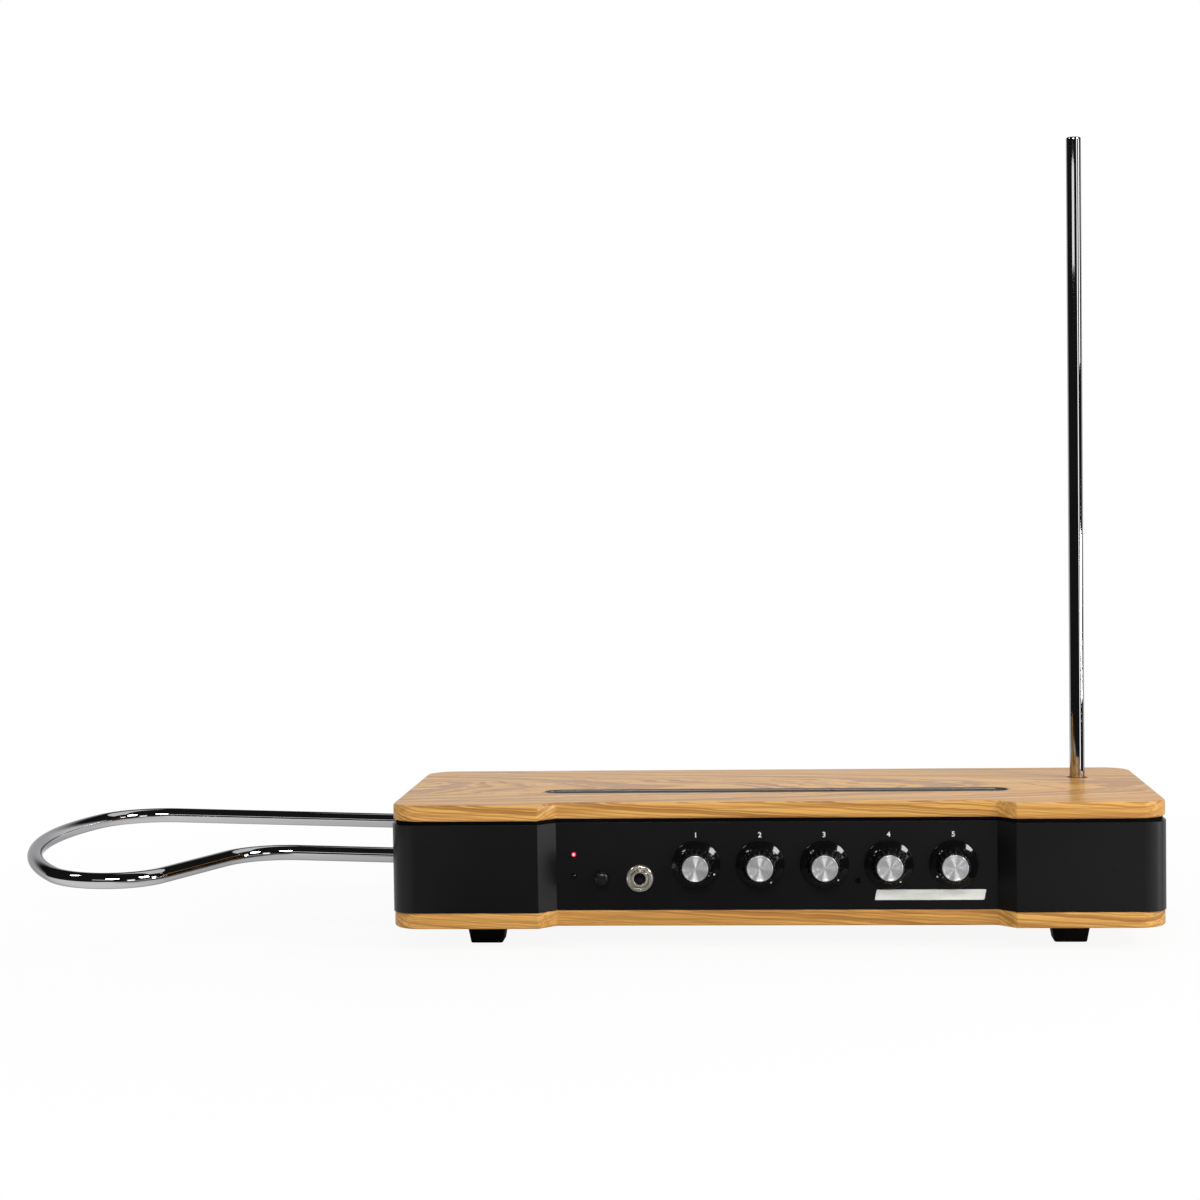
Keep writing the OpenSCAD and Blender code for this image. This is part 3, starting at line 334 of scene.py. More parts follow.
def wood_material():
    """Warm open-grained wood under satin lacquer: flat-sawn boards, their heart below and a little aslant."""
    g = Graph("oiled_wood")
    o = g.obj()
    x, y, z = g.xyz(o)
    # the lower board is another stretch of the same tree
    lower = g.math("LESS_THAN", z, 0.03)
    x = g.math("MULTIPLY_ADD", lower, 0.31, x)
    z = g.math("MULTIPLY_ADD", lower, 0.068, z)
    p = g.node("ShaderNodeCombineXYZ", {0: x, 1: y, 2: z}).outputs[0]
    slow = g.noise(g.scaled(p, 3.0, 9.0, 9.0), 1.0, 2.0, 0.5)
    wavy = g.noise(g.scaled(p, 13.0, 34.0, 34.0, loc=(3.1, 1.7, 0.4)), 1.0, 3.0, 0.6)
    # distance from the heart, which runs along X, dips and wanders
    yy = g.math("ADD", y, g.math("MULTIPLY_ADD", slow, 0.05, -0.02))
    zz = g.math("ADD", g.math("MULTIPLY_ADD", x, 0.07, z), 0.085)
    zz = g.math("ADD", zz, g.math("MULTIPLY_ADD", slow, 0.020, g.math("MULTIPLY_ADD", wavy, 0.007, -0.0135)))
    dist = g.length(yy, zz)
    # years: broad bands that break into thin dark lines
    band = g.node("ShaderNodeTexNoise", {"W": g.math("MULTIPLY", dist, 250.0), "Scale": 1.0, "Detail": 4.0,
                                         "Roughness": 0.75}, noise_dimensions="1D").outputs[0]
    late = g.span(band, 0.48, 0.66, smooth=True)
    line = g.node("ShaderNodeTexNoise", {"W": g.math("MULTIPLY", dist, 820.0), "Scale": 1.0, "Detail": 2.0},
                  noise_dimensions="1D").outputs[0]
    line = g.span(line, 0.50, 0.62, smooth=True)
    fibre = g.noise(g.scaled(p, 7.0, 560.0, 560.0, loc=(0.3, 5.0, 1.0)), 1.0, 3.0, 0.6)
    fibre = g.span(fibre, 0.46, 0.62, smooth=True)
    streak = g.noise(g.scaled(p, 4.0, 190.0, 190.0, loc=(2.3, 1.0, 6.0)), 1.0, 3.0, 0.6)
    streak = g.span(streak, 0.45, 0.65, smooth=True)
    # pores: short dark dashes along the grain
    pore = g.noise(g.scaled(p, 55.0, 1500.0, 1500.0), 1.0, 2.0, 0.6)
    pore = g.span(pore, 0.60, 0.74, smooth=True)
    broad = g.noise(g.scaled(p, 1.6, 12.0, 12.0, loc=(7.0, 0.0, 2.0)), 1.0, 2.0, 0.5)
    base = g.mix(g.span(broad, 0.3, 0.7), (0.76, 0.395, 0.092), (0.82, 0.48, 0.15))
    base = g.mix(g.math("MULTIPLY", late, 0.80), base, (0.36, 0.150, 0.030))
    base = g.mix(g.math("MULTIPLY", line, 0.55), base, (0.33, 0.128, 0.024))
    base = g.mix(g.math("MULTIPLY", streak, 0.28), base, (0.42, 0.165, 0.034))
    base = g.mix(g.math("MULTIPLY", fibre, 0.42), base, (0.38, 0.15, 0.032))
    base = g.mix(g.math("MULTIPLY", pore, 0.35), base, (0.23, 0.09, 0.02))
    n = g.bevel(0.0006)
    n = g.bump(g.math("MULTIPLY_ADD", pore, -0.8, g.math("MULTIPLY", fibre, 0.4)), 0.12, 0.00008, n)
    g.set(Base_Color=base, Roughness=g.span(late, 0.0, 1.0, 0.50, 0.42), Normal=n, Coat_Weight=0.26,
          Coat_Roughness=0.20, Coat_IOR=1.5, Specular_IOR_Level=0.16)
    return g.mat


def powder_black(name="powder_coat_black", base=(0.0022, 0.0022, 0.0024), rough=0.40):
    g = Graph(name)
    o = g.obj()
    grit = g.noise(o, 1900.0, 2.0, 0.6)
    cloud = g.noise(o, 14.0, 3.0, 0.5)
    n = g.bump(grit, 0.16, 0.00004, g.bevel(0.0005))
    g.set(Base_Color=g.mix(cloud, base, tuple(c * 1.35 for c in base)),
          Roughness=g.span(cloud, 0.3, 0.7, rough - 0.03, rough + 0.03), Normal=n, Specular_IOR_Level=0.34)
    return g.mat


def chrome():
    g = Graph("chrome_plate")
    haze = g.noise(g.obj(), 60.0, 3.0, 0.6)
    g.set(Base_Color=g.mix(haze, (0.51, 0.51, 0.52), (0.5355, 0.5355, 0.546)), Metallic=1.0,
          Specular_Tint=(0.45, 0.45, 0.46), Roughness=g.span(haze, 0.3, 0.7, 0.03, 0.05))
    return g.mat


def metal(name, tint, rough, bevel=0.0003, metallic=1.0):
    """Plain machined or plated metal with a fine uneven finish."""
    g = Graph(name)
    tex = g.noise(g.obj(), 400.0, 3.0, 0.6)
    n = g.bump(tex, 0.12, 0.00005, g.bevel(bevel))
    g.set(Base_Color=g.mix(tex, tuple(c * 0.9 for c in tint), tint), Metallic=metallic,
          Roughness=g.span(tex, 0.25, 0.75, rough - 0.05, rough + 0.06), Normal=n)
    return g.mat


def plastic(name, tint, rough, bevel=0.0003, bump=0.12, coat=0.0, specular=0.5):
    g = Graph(name)
    o = g.obj()
    tex = g.noise(o, 900.0, 2.0, 0.5)
    cloud = g.noise(o, 70.0, 2.0, 0.5)
    n = g.bump(tex, bump, 0.00004, g.bevel(bevel))
    g.set(Base_Color=g.mix(cloud, tuple(c * 0.88 for c in tint), tuple(min(1, c * 1.1) for c in tint)),
          Roughness=g.span(cloud, 0.3, 0.7, max(0.02, rough - 0.03), rough + 0.03), Normal=n, Coat_Weight=coat,
          Coat_Roughness=0.04, Specular_IOR_Level=specular)
    return g.mat


def spun_cap_material():
    """Spun aluminium: fine concentric turning lines with stretched highlights."""
    g = Graph("spun_aluminium")
    o = g.obj()
    c = g.xyz(o)
    r = g.length(c[0], c[1])
    line = g.node("ShaderNodeTexNoise", {"W": g.math("MULTIPLY", r, 9000.0), "Scale": 1.0, "Detail": 2.0},
                  noise_dimensions="1D").outputs[0]
    tangent = g.node("ShaderNodeTangent", direction_type="RADIAL", axis="Z").outputs[0]
    n = g.bump(line, 0.25, 0.00003, g.bevel(0.0002))
    g.set(Base_Color=g.mix(line, (0.78, 0.78, 0.79), (0.96, 0.96, 0.97)), Metallic=0.80,
          Roughness=g.span(line, 0.2, 0.8, 0.30, 0.38), Anisotropic=0.97, Anisotropic_Rotation=0.25,
          Tangent=tangent, Normal=n)
    return g.mat


def lamp_material(name, tint, core, glow, place, coat=0.4):
    """Small round lens about the front axis at place: its middle takes the colour core."""
    g = Graph(name)
    c = g.xyz(g.obj())
    dx, dz = g.math("ADD", c[0], -place[0] * MM), g.math("ADD", c[2], -place[1] * MM)
    r = g.length(dx, dz)
    near = g.span(r, 0.0013, 0.0003, smooth=True)
    g.set(Base_Color=g.mix(near, tint, core), Roughness=0.22, Coat_Weight=coat, Coat_Roughness=0.05,
          Emission_Color=g.mix(near, tint, core), Emission_Strength=glow)
    return g.mat


def board_material():
    g = Graph("circuit_board_green")
    o = g.obj()
    c = g.scaled(o, 160.0, 160.0, 160.0)
    brick = g.node("ShaderNodeTexBrick", {"Vector": c, "Color1": (0.012, 0.085, 0.04), "Color2": (0.02, 0.11, 0.05),
                                          "Mortar": (0.03, 0.17, 0.08), "Scale": 2.0, "Mortar Size": 0.012})
    g.set(Base_Color=brick.outputs[0], Roughness=0.35, Normal=g.bevel(0.0002), Coat_Weight=0.3,
          Coat_Roughness=0.2)
    return g.mat


def winding_material():
    g = Graph("copper_winding")
    z = g.xyz(g.obj())[2]
    wave = g.math("SINE", g.math("MULTIPLY", z, 2 * math.pi / 0.00035))
    n = g.bump(wave, 0.5, 0.0001, g.bevel(0.0002))
    # the colour follows the turns: painted shade, darker in the grooves between them and lighter on their crests
    g.set(Base_Color=g.mix(g.span(wave, -1.0, 1.0), (0.16, 0.05, 0.015), (0.42, 0.17, 0.06)), Metallic=0.6,
          Roughness=0.38, Normal=n)
    return g.mat


def gloss_black():
    g = Graph("gloss_phenolic")
    o = g.obj()
    cloud = g.noise(o, 120.0, 3.0, 0.5)
    orange = g.noise(o, 380.0, 2.0, 0.5)
    n = g.bump(orange, 0.05, 0.00005, g.bevel(0.00025))
    g.set(Base_Color=g.mix(cloud, (0.003, 0.003, 0.0033), (0.005, 0.005, 0.0054)),
          Roughness=g.span(cloud, 0.3, 0.7, 0.075, 0.125), Normal=n, Specular_IOR_Level=0.34,
          Coat_Weight=0.1, Coat_Roughness=0.05)
    return g.mat


WOOD = wood_material()
BLACK = powder_black()
CHROME = chrome()
NICKEL = metal("nickel_plate", (0.80, 0.75, 0.67), 0.16, metallic=0.80)
STEEL = metal("zinc_steel", (0.55, 0.55, 0.55), 0.30)
BRASS = metal("turned_brass", (0.68, 0.48, 0.20), 0.24)
ALU = metal("satin_aluminium", (0.68, 0.68, 0.68), 0.34)
PLATE = metal("satin_plate", (0.96, 0.965, 0.90), 0.42, bevel=0.00025, metallic=0.15)
DARK_SCREW = metal("black_oxide", (0.012, 0.012, 0.012), 0.5)
IRON = powder_black("cast_black", (0.012, 0.012, 0.012), 0.5)
CONTROL = metal("stamped_steel", (0.5, 0.5, 0.5), 0.36)
CAN = metal("drawn_can", (0.7, 0.7, 0.7), 0.28)
SHAFT = metal("turned_shaft", (0.58, 0.58, 0.57), 0.25)
SPUN = spun_cap_material()
PHENOLIC = gloss_black()
BUTTON = plastic("button_black", (0.007, 0.007, 0.0075), 0.26)
JACK = plastic("jack_black", (0.005, 0.005, 0.005), 0.55)
SWITCH = plastic("switch_black", (0.012, 0.012, 0.013), 0.25)
RUBBER = plastic("foot_rubber", (0.0028, 0.0030, 0.0026), 0.62, bevel=0.0006, bump=0.3, specular=0.12)
FOAM = plastic("gasket_foam", (0.002, 0.002, 0.002), 0.9, bump=0.5, specular=0.1)
TRAY = plastic("tray_black", (0.088, 0.073, 0.057), 0.30, bump=0.0, coat=0.35)
CHIP = plastic("chip_black", (0.015, 0.015, 0.016), 0.5)
SLEEVE = plastic("blue_sleeve", (0.02, 0.04, 0.16), 0.2)
BOARD = board_material()
WINDING = winding_material()
COPPER = metal("tinned_copper", (0.70, 0.42, 0.28), 0.3)
INK = plastic("white_ink", (0.80, 0.80, 0.79), 0.5, bevel=0.0, bump=0.05)
LAMP_ON = lamp_material("red_lens_lit", (0.42, 0.005, 0.02), (1.0, 0.36, 0.42), 0.85, (LAMP_X, POWER_LAMP_Z))
LAMP_OFF = lamp_material("red_lens_dark", (0.006, 0.002, 0.002), (0.008, 0.003, 0.003), 0.0,
                         (LAMP_X, MUTE_LAMP_Z), 0.0)

BY_SLOT = {"wood": WOOD, "black_paint": BLACK, "gasket": FOAM, "dark_tray": TRAY, "plate_metal": PLATE,
           "foot_rubber": RUBBER, "screw_steel": STEEL, "black_screw": DARK_SCREW, "socket_iron": IRON,
           "post_metal": ALU, "board": BOARD, "brass": BRASS, "coil_wire": WINDING, "can_metal": CAN,
           "chip_plastic": CHIP, "capacitor_sleeve": SLEEVE, "control_metal": CONTROL, "nickel": NICKEL,
           "jack_plastic": JACK, "lamp_on": LAMP_ON, "lamp_off": LAMP_OFF, "switch_plastic": SWITCH,
           "copper_wire": COPPER, "chrome_rod": CHROME, "button_plastic": BUTTON, "dial_plastic": PHENOLIC,
           "dial_cap_metal": SPUN, "shaft_metal": SHAFT}
for part in frame["record"]["subparts"]:
    node = NODES[part["node"]]
    if not node.material_slots:
        node.data.materials.append(None)
    for slot in node.material_slots:
        slot.material = BY_SLOT[part["material_slot"]]


def add(piece, body, slot=None, *stands_for):
    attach(piece, body)
    if stands_for:
        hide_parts(*stands_for)
    return piece


def build(name, part, mat, smooth, body, *slot_and_nodes):
    """Adds one piece from points in mm, its faces turned outward."""
    return add(recalc(make(name, *part, mat, smooth)), body, *slot_and_nodes)


# ------------------------------------------------------------------ wooden plates
def case_points(inset, radius=CORNER_R, edge_r=2.6, seg=8):
    """Outline of the case from above, drawn in by inset, with softened corners at the recess."""
    facet = math.atan2(RECESS_D, FACET_W)
    hw = RECESS_W / 2 + inset * math.tan(facet / 2)
    deep, f = PANEL_Y + inset, FRONT_Y + inset
    x, y = CASE_W / 2 - inset, CASE_D / 2 - inset
    pts = [(-x, y), (-x, f), (-hw - FACET_W, f), (-hw, deep), (hw, deep), (hw + FACET_W, f), (x, f), (x, y)]
    out_r, in_r = max(0.4, edge_r - inset), edge_r + inset
    round_r = radius - inset
    return fillet(pts, [round_r, round_r, out_r, in_r, in_r, out_r, round_r, round_r], seg)


def stadium_points(l, w, y0, seg=12):
    r, out = w / 2, []
    for cx, a0 in ((l / 2 - r, -90), (-(l / 2 - r), 90)):
        for k in range(seg + 1):
            a = rad(a0 + 180 * k / seg)
            out.append((cx + r * math.cos(a), y0 + r * math.sin(a)))
    return out


def lid(loops, z, up):
    """Flat face at height z between an outer loop and its holes."""
    flat = [[Vector((p[0], p[1], 0)) for p in loop] for loop in loops]
    verts = [(p[0], p[1], z) for loop in loops for p in loop]
    faces = []
    for tri in tessellate_polygon(flat):
        a, b, c = (Vector(verts[i]) for i in tri)
        if ((b - a).cross(c - a).z > 0) != up:
            tri = tri[::-1]
        faces.append(tuple(tri))
    return verts, faces


def plate(z0, z1, edge, holes_top, holes_low):
    """Wooden plate with rounded edges. A hole is (function of its grow, depth, edge radius)."""
    steps = 5
    prof = [(edge + 0.7, z0), (edge, z0)]
    prof += [(edge * (1 - math.cos(rad(90 * k / steps))), z0 + edge * (1 - math.sin(rad(90 * k / steps))))
             for k in range(steps - 1, -1, -1)]
    prof += [(edge * (1 - math.cos(rad(90 * k / steps))), z1 - edge * (1 - math.sin(rad(90 * k / steps))))
             for k in range(0, steps)]
    prof += [(edge, z1), (edge + 0.7, z1)]
    rings = [[(x, y, z) for x, y in case_points(i)] for i, z in prof]
    parts = [loft(rings, False, False)]
    for holes, z, up, s in ((holes_top, z1, True, 1), (holes_low, z0, False, -1)):
        loops = [case_points(edge + 0.7)]
        for shape, depth, soft in holes:
            hp = [(soft + 0.5, 0.0), (soft, 0.0), (soft * 0.3, soft * 0.3), (0.0, soft), (0.0, depth)]
            hr = [[(x, y, z - s * d) for x, y in shape(g)] for g, d in hp]
            part = loft(hr, False, depth < z1 - z0)
            parts.append(part if s < 0 else flipped(part))
            loops.append(shape(soft + 0.5))
        parts.append(lid(loops, z, up))
    return join(*parts)


def tray_hole(g):
    return stadium_points(TRAY_L + 2 * g, TRAY_W + 2 * g, TRAY_Y)


def pitch_hole(g):
    return circle_points(PITCH_HOLE_R + g, PITCH_X, PITCH_Y)


def bolt_hole(sx, sy):
    return lambda g: circle_points(4.1 + g, sx * POST_X, sy * POST_Y, 32)


top_part = plate(BODY_Z, TOP_Z, TOP_EDGE_R, [(tray_hole, TRAY_T, 0.4), (pitch_hole, TOP_Z - BODY_Z, 0.5)],
                 [(pitch_hole, 0.5, 0.1)])
build("top_plate", top_part, WOOD, 50, "case", "wood", "top_panel")
base_part = plate(0.0, BASE_T, BASE_EDGE_R, [], [(bolt_hole(sx, sy), BOLT_SEAT_Z, 0.3) for sx, sy in CORNERS])
build("base_plate", base_part, WOOD, 50, "case", "wood", "base_panel")


def trough():
    """The long tray: a flush rim round a hollow with a rounded bottom."""
    prof = [(0.1, TOP_Z - TRAY_T), (0.1, TOP_Z - 0.15), (0.25, TOP_Z), (0.95, TOP_Z), (1.2, TOP_Z - 0.2)]
    wide, deep = 4.6, 2.7
    for a in range(10, 91, 10):
        prof.append((1.2 + wide * (1 - math.cos(rad(a))), TOP_Z - 0.25 - deep * math.sin(rad(a))))
    prof.append((8.8, TOP_Z - 0.25 - deep))
    return loft([[(x, y, z) for x, y in stadium_points(TRAY_L - 2 * i, TRAY_W - 2 * i, TRAY_Y)]
                 for i, z in prof])


build("tray_trough", trough(), TRAY, 40, "case", "dark_tray", "top_tray")


# ------------------------------------------------------------------ antennas
def arc(p, heading, r, turn, left, step=2.5):
    """Points along a turn, with the heading at each, after p itself."""
    out = []
    n = max(3, math.ceil(turn / step))
    s = 1 if left else -1
    cx = p[0] - s * r * math.sin(rad(heading))
    cy = p[1] + s * r * math.cos(rad(heading))
    for k in range(1, n + 1):
        h = heading + s * turn * k / n
        out.append((cx + s * r * math.sin(rad(h)), cy - s * r * math.cos(rad(h)), h))
    return out


def loop_path():
    """Centre line of the volume antenna in its own plane: (u, v, heading)."""
    pts = [(INNER, LEG_GAP / 2, 180.0)]
    for u in (INNER - 1.0, 0.0, -60.0, -120.0, -LEG_L):
        pts.append((u, LEG_GAP / 2, 180.0))
    for r, turn in LOOP_BENDS:
        pts += arc(pts[-1], pts[-1][2], r, turn, True)
    u, v, _ = pts[-1]
    rise = -LEG_GAP / 2 - v - NECK_R * (1 - math.cos(rad(NECK_TURN)))
    run = rise / math.sin(rad(NECK_TURN))
    for k in (0.25, 0.5, 0.75, 1.0):
        pts.append((u + k * run * math.cos(rad(NECK_TURN)), v + k * rise, NECK_TURN))
    pts += arc(pts[-1], NECK_TURN, NECK_R, NECK_TURN, False)
    u = pts[-1][0]
    for k in (0.3, 0.6, 0.9):
        pts.append((u + (INNER - u) * k, -LEG_GAP / 2, 0.0))
    pts.append((INNER, -LEG_GAP / 2, 0.0))
    return pts


def in_loop(u, v, w=0.0):
    b, r = rad(BANK), rad(RAKE)
    y, z = v * math.cos(b) - w * math.sin(b), v * math.sin(b) + w * math.cos(b)
    return (LEFT_X + u * math.cos(r) + z * math.sin(r), LOOP_Y + y, LOOP_Z - u * math.sin(r) + z * math.cos(r))


def volume_loop(seg=48):
    path = loop_path()
    rings = []
    for k, (u, v, h) in enumerate(path):
        r = ROD_R - 0.7 if k in (0, len(path) - 1) else ROD_R
        nx, ny = -math.sin(rad(h)), math.cos(rad(h))
        ring = []
        for a in around(seg):
            side = r * math.cos(a)
            ring.append(in_loop(u + side * nx, v + side * ny, r * math.sin(a)))
        rings.append(ring)
    return loft(rings)


build("volume_loop_rod", volume_loop(), CHROME, 35, "volume_loop", "chrome_rod", "volume_antenna")

prof = [(ROD_R - 0.6, PITCH_FLOOR), (ROD_R, PITCH_FLOOR + 0.6), (ROD_R, PITCH_FLOOR + 1.0), (ROD_R, 250.0),
        (ROD_R, PITCH_TOP - 1.6), (ROD_R, PITCH_TOP - 1.2),
        (ROD_R - 0.12, PITCH_TOP - 0.7), (ROD_R - 0.4, PITCH_TOP - 0.3), (ROD_R - 0.9, PITCH_TOP - 0.06),
        (ROD_R - 1.4, PITCH_TOP), (ROD_R - 2.2, PITCH_TOP)]
build("pitch_rod_chrome", moved(turned(prof), Matrix.Translation((PITCH_X, PITCH_Y, 0))), CHROME, 40,
      "pitch_rod", "chrome_rod", "pitch_antenna")


# ------------------------------------------------------------------ dials
def dial_mesh():
    """Dial about +Z: bevelled skirt, cone, fluted grip and a rim round the cap's pocket."""
    zt = DIAL_H - 0.3
    prof = [(DIAL_BORE, LIFT), (SKIRT_R - 0.35, LIFT), (SKIRT_R - 0.08, LIFT + 0.1), (SKIRT_R, LIFT + 0.35),
            (SKIRT_R, LIFT + 0.75), (SKIRT_R - 0.12, LIFT + 1.0), (SKIRT_R - 0.5, LIFT + 1.25),
            (12.9, 2.95), (11.75, 3.95), (SKIRT_TOP_R, SKIRT_H), (SKIRT_TOP_R - 0.45, SKIRT_H + 0.5)]
    steps = 8
    z0, z1 = SKIRT_H + 0.9, DIAL_H - 1.5
    for k in range(steps + 1):
        t = k / steps
        prof.append((CONE_R + (GRIP_R + 0.1 - CONE_R) * t, z0 + (z1 - z0) * t))
    prof += [(GRIP_R - 0.02, DIAL_H - 1.0), (GRIP_R - 0.3, DIAL_H - 0.55), (GRIP_R - 0.75, zt - 0.02),
             (CAP_R + 0.45, zt), (CAP_R + 0.12, zt - 0.1), (CAP_R + 0.12, DIAL_H - CAP_T), (DIAL_BORE, DIAL_H - CAP_T)]
    # how deep the flutes are cut at each ring of the grip
    first, last = 10, 10 + steps + 3
    depth = {k: 1.0 for k in range(first, last + 1)}
    depth.update({first: 0.25, first + 1: 0.7, last - 1: 0.85, last: 0.45})

    def wave(k, a, r):
        if k not in depth:
            return r
        t = 0.5 + 0.5 * math.cos(FLUTES * a)
        return r - depth[k] * 1.05 * t ** 2.2

    return turned(prof, FLUTES * 12, wave=wave)


def pointer_dot(size=0.62, tilt=41):
    """A small white dot let into the dial's cone at its pointer."""
    disc = turned([(size, -0.25), (size, 0.02), (size * 0.8, 0.09), (size * 0.4, 0.12)], 20)
    return moved(disc, Matrix.Translation((12.35, 0, 3.46)) @ Matrix.Rotation(rad(tilt), 4, "Y"))


def cap_mesh():
    """Spun cap about +Z with a bright turned rim and a faint centre."""
    low, top = DIAL_H - CAP_T, DIAL_H
    prof = [(CAP_R - 0.1, low), (CAP_R, low + 0.1), (CAP_R, top - 0.28), (CAP_R - 0.1, top - 0.08),
            (CAP_R - 0.28, top), (CAP_R - 0.75, top), (CAP_R - 0.85, top - 0.05), (6.0, top - 0.06),
            (4.0, top - 0.05), (2.0, top - 0.05), (0.7, top - 0.05), (0.35, top - 0.09)]
    return turned(prof, 96)


dial_part, cap_part, dot_part = dial_mesh(), cap_mesh(), pointer_dot()
for i, turn in enumerate(DIAL_REST):
    # local +X points up at rest before the dial's own turn, clockwise seen from the front
    place = to_front(DIAL_X + i * DIAL_GAP, DIAL_Z) @ Matrix.Rotation(rad(90 - turn), 4, "Z")
    place.translation *= MM
    for name, part, mat, *slot_and_node in (
            (f"dial_body_{i + 1}", dial_part, PHENOLIC, "dial_plastic", f"dial_{i + 1}"),
            (f"dial_cap_spun_{i + 1}", cap_part, SPUN, "dial_cap_metal", f"dial_cap_{i + 1}"),
            (f"dial_dot_{i + 1}", dot_part, INK)):
        o = recalc(make(name, *part, mat, 35))
        o.matrix_world = place
        bpy.context.view_layer.update()
        add(o, f"knob_{i + 1}", *slot_and_node)


# ------------------------------------------------------------------ jack, button, lamps, plate
def round_nut(bush_r, nut_r, nut_t):
    """Round nut about +Z with a softly knurled rim."""
    def knurl(k, a, r):
        return r - 0.1 * (0.5 + 0.5 * math.cos(48 * a)) if k in (1, 2) else r

    return turned([(bush_r + 0.1, 0.0), (nut_r, 0.0), (nut_r, nut_t - 0.9), (nut_r - 0.25, nut_t - 0.45),
                   (nut_r - 0.8, nut_t - 0.12), (nut_r - 1.1, nut_t), (bush_r + 0.9, nut_t),
                   (bush_r + 0.75, nut_t - 0.08), (bush_r + 0.1, nut_t - 0.95)], 72, False, False, wave=knurl)


def bushing(bush_r, hole_r, z1, depth, threads=4):
    prof = [(bush_r - 0.05, -1.0), (bush_r - 0.05, z1 - 0.3 * threads)]
    for k in range(threads):
        z = z1 - 0.3 * (threads - k)
        prof += [(bush_r - 0.22, z + 0.07), (bush_r - 0.02, z + 0.2)]
    prof += [(bush_r - 0.55, z1), (hole_r + 0.6, z1), (hole_r + 0.4, z1 - 0.2), (hole_r + 0.4, -depth)]
    return turned(prof, 64, False, False)


at_phones = to_front(*PHONES)
build("phones_ring", moved(round_nut(BUSH_R, NUT_R, NUT_T), at_phones), NICKEL, 35, "case", "nickel", "phones_nut")
tube = turned([(3.6, 0.0), (3.6, 2.9), (3.35, 2.7), (PLUG_R, 2.3), (PLUG_R, -20.0), (0.3, -20.0)], 48, False, True)
box = loft([[(sx * 7.5, sy * 7.5, z) for sx, sy in ((-1, -1), (1, -1), (1, 1), (-1, 1))] for z in (-26.5, -2.5)])
build("phones_bushing", moved(bushing(BUSH_R, PLUG_R, 3.2, 0.0), at_phones), NICKEL, 35, "case", "nickel")
add(make("phones_body", *moved(join(tube, box), at_phones), JACK, 35), "case", "jack_plastic", "phones_jack")

prof = [(4.35, -5.1), (4.35, 4.1), (4.27, 4.55), (4.05, 4.95), (3.6, 5.35), (3.0, 5.62), (2.2, 5.82), (1.2, 5.95),
        (0.4, 5.99)]
push = join(turned(prof, 56), turned([(1.5, -9.6), (1.5, -5.0)], 24))
build("mute_cap", moved(push, to_front(*MUTE)), BUTTON, 40, "mute_push", "button_plastic", "mute_button")

for name, z, mat, slot, node in (("power_lens", POWER_LAMP_Z, LAMP_ON, "lamp_on", "power_lamp"),
                                 ("mute_lens", MUTE_LAMP_Z, LAMP_OFF, "lamp_off", "mute_lamp")):
    prof = [(2.1, -4.5), (2.1, -2.5), (1.5, -2.5), (1.5, 0.1)]
    prof += [(1.5 * math.cos(rad(a)), 0.1 + 1.5 * math.sin(rad(a))) for a in range(10, 90, 10)]
    build(name, moved(turned(prof, 32), to_front(LAMP_X, z)), mat, 40, "case", slot, node)


def bare_plate():
    w, h, s, t = 66.0, 6.4, 1.3, 0.8

    def pts(i):
        return fillet([(-(w + s) / 2 + i, -h / 2 + i), ((w - s) / 2 - i, -h / 2 + i), ((w + s) / 2 - i, h / 2 - i),
                       (-(w - s) / 2 + i, h / 2 - i)], [0.5] * 4, 4)

    rings = [[(x, y, z) for x, y in pts(i)] for i, z in ((0, 0), (0, t - 0.22), (0.07, t - 0.07), (0.22, t),
                                                        (0.5, t), (0.62, t - 0.06))]
    return loft(rings)


build("bare_plate", moved(bare_plate(), to_front(*BARE_PLATE)), PLATE, 30, "case", "plate_metal", "blank_plate")


# ------------------------------------------------------------------ generic numerals over the dials
def words(name, text, size, matrix, mat, body):
    """Flat raised text, its size in mm, centred on the matrix's place."""
    cu = bpy.data.curves.new(name, "FONT")
    cu.body = text
    cu.size = size * MM
    cu.align_x = "CENTER"
    cu.align_y = "CENTER"
    cu.extrude = 0.04 * MM
    cu.offset = 0.02 * size * MM
    tmp = bpy.data.objects.new(name + "_tmp", cu)
    bpy.context.scene.collection.objects.link(tmp)
    bpy.context.view_layer.update()
    me = bpy.data.meshes.new_from_object(tmp.evaluated_get(bpy.context.evaluated_depsgraph_get()))
    bpy.data.objects.remove(tmp)
    o = bpy.data.objects.new(name, me)
    me.materials.clear()
    me.materials.append(mat)
    bpy.context.scene.collection.objects.link(o)
    m = matrix.copy()
    m.translation *= MM
    o.matrix_world = m
    bpy.context.view_layer.update()
    return add(o, body)


for i in range(len(DIAL_REST)):
    words(f"numeral_{i + 1}", str(i + 1), NUMERAL_H,
          to_front(DIAL_X + i * DIAL_GAP, NUMERAL_Z, PANEL_Y - 0.03), INK, "case")


# ------------------------------------------------------------------ screws, with hexagon sockets
def cap_screw(head_r, head_h, socket, shank_r, shank_l, seg=48):
    """Screw about +Z, its head on top of z = 0 and its shank below."""
    rings = [circle_ring(r, z, seg) for r, z in (
        (shank_r, -shank_l), (shank_r, 0), (head_r, 0), (head_r, head_h * 0.55), (head_r * 0.93, head_h * 0.82),
        (head_r * 0.76, head_h * 0.97), (head_r * 0.64, head_h))]
    rings += [hexagon(flat, z, seg) for flat, z in (
        (socket * 1.06, head_h), (socket, head_h - 0.08), (socket, head_h * 0.35))]
    return loft(rings)


def screws_below(name, places, size, node):
    """Screws that stand head down, each at an (x, y, z)."""
    down = Matrix.Rotation(math.pi, 4, "X")
    part = join(*[moved(cap_screw(*size), Matrix.Translation(place) @ down) for place in places])
    build(name, part, STEEL, 35, "case", "screw_steel", node)


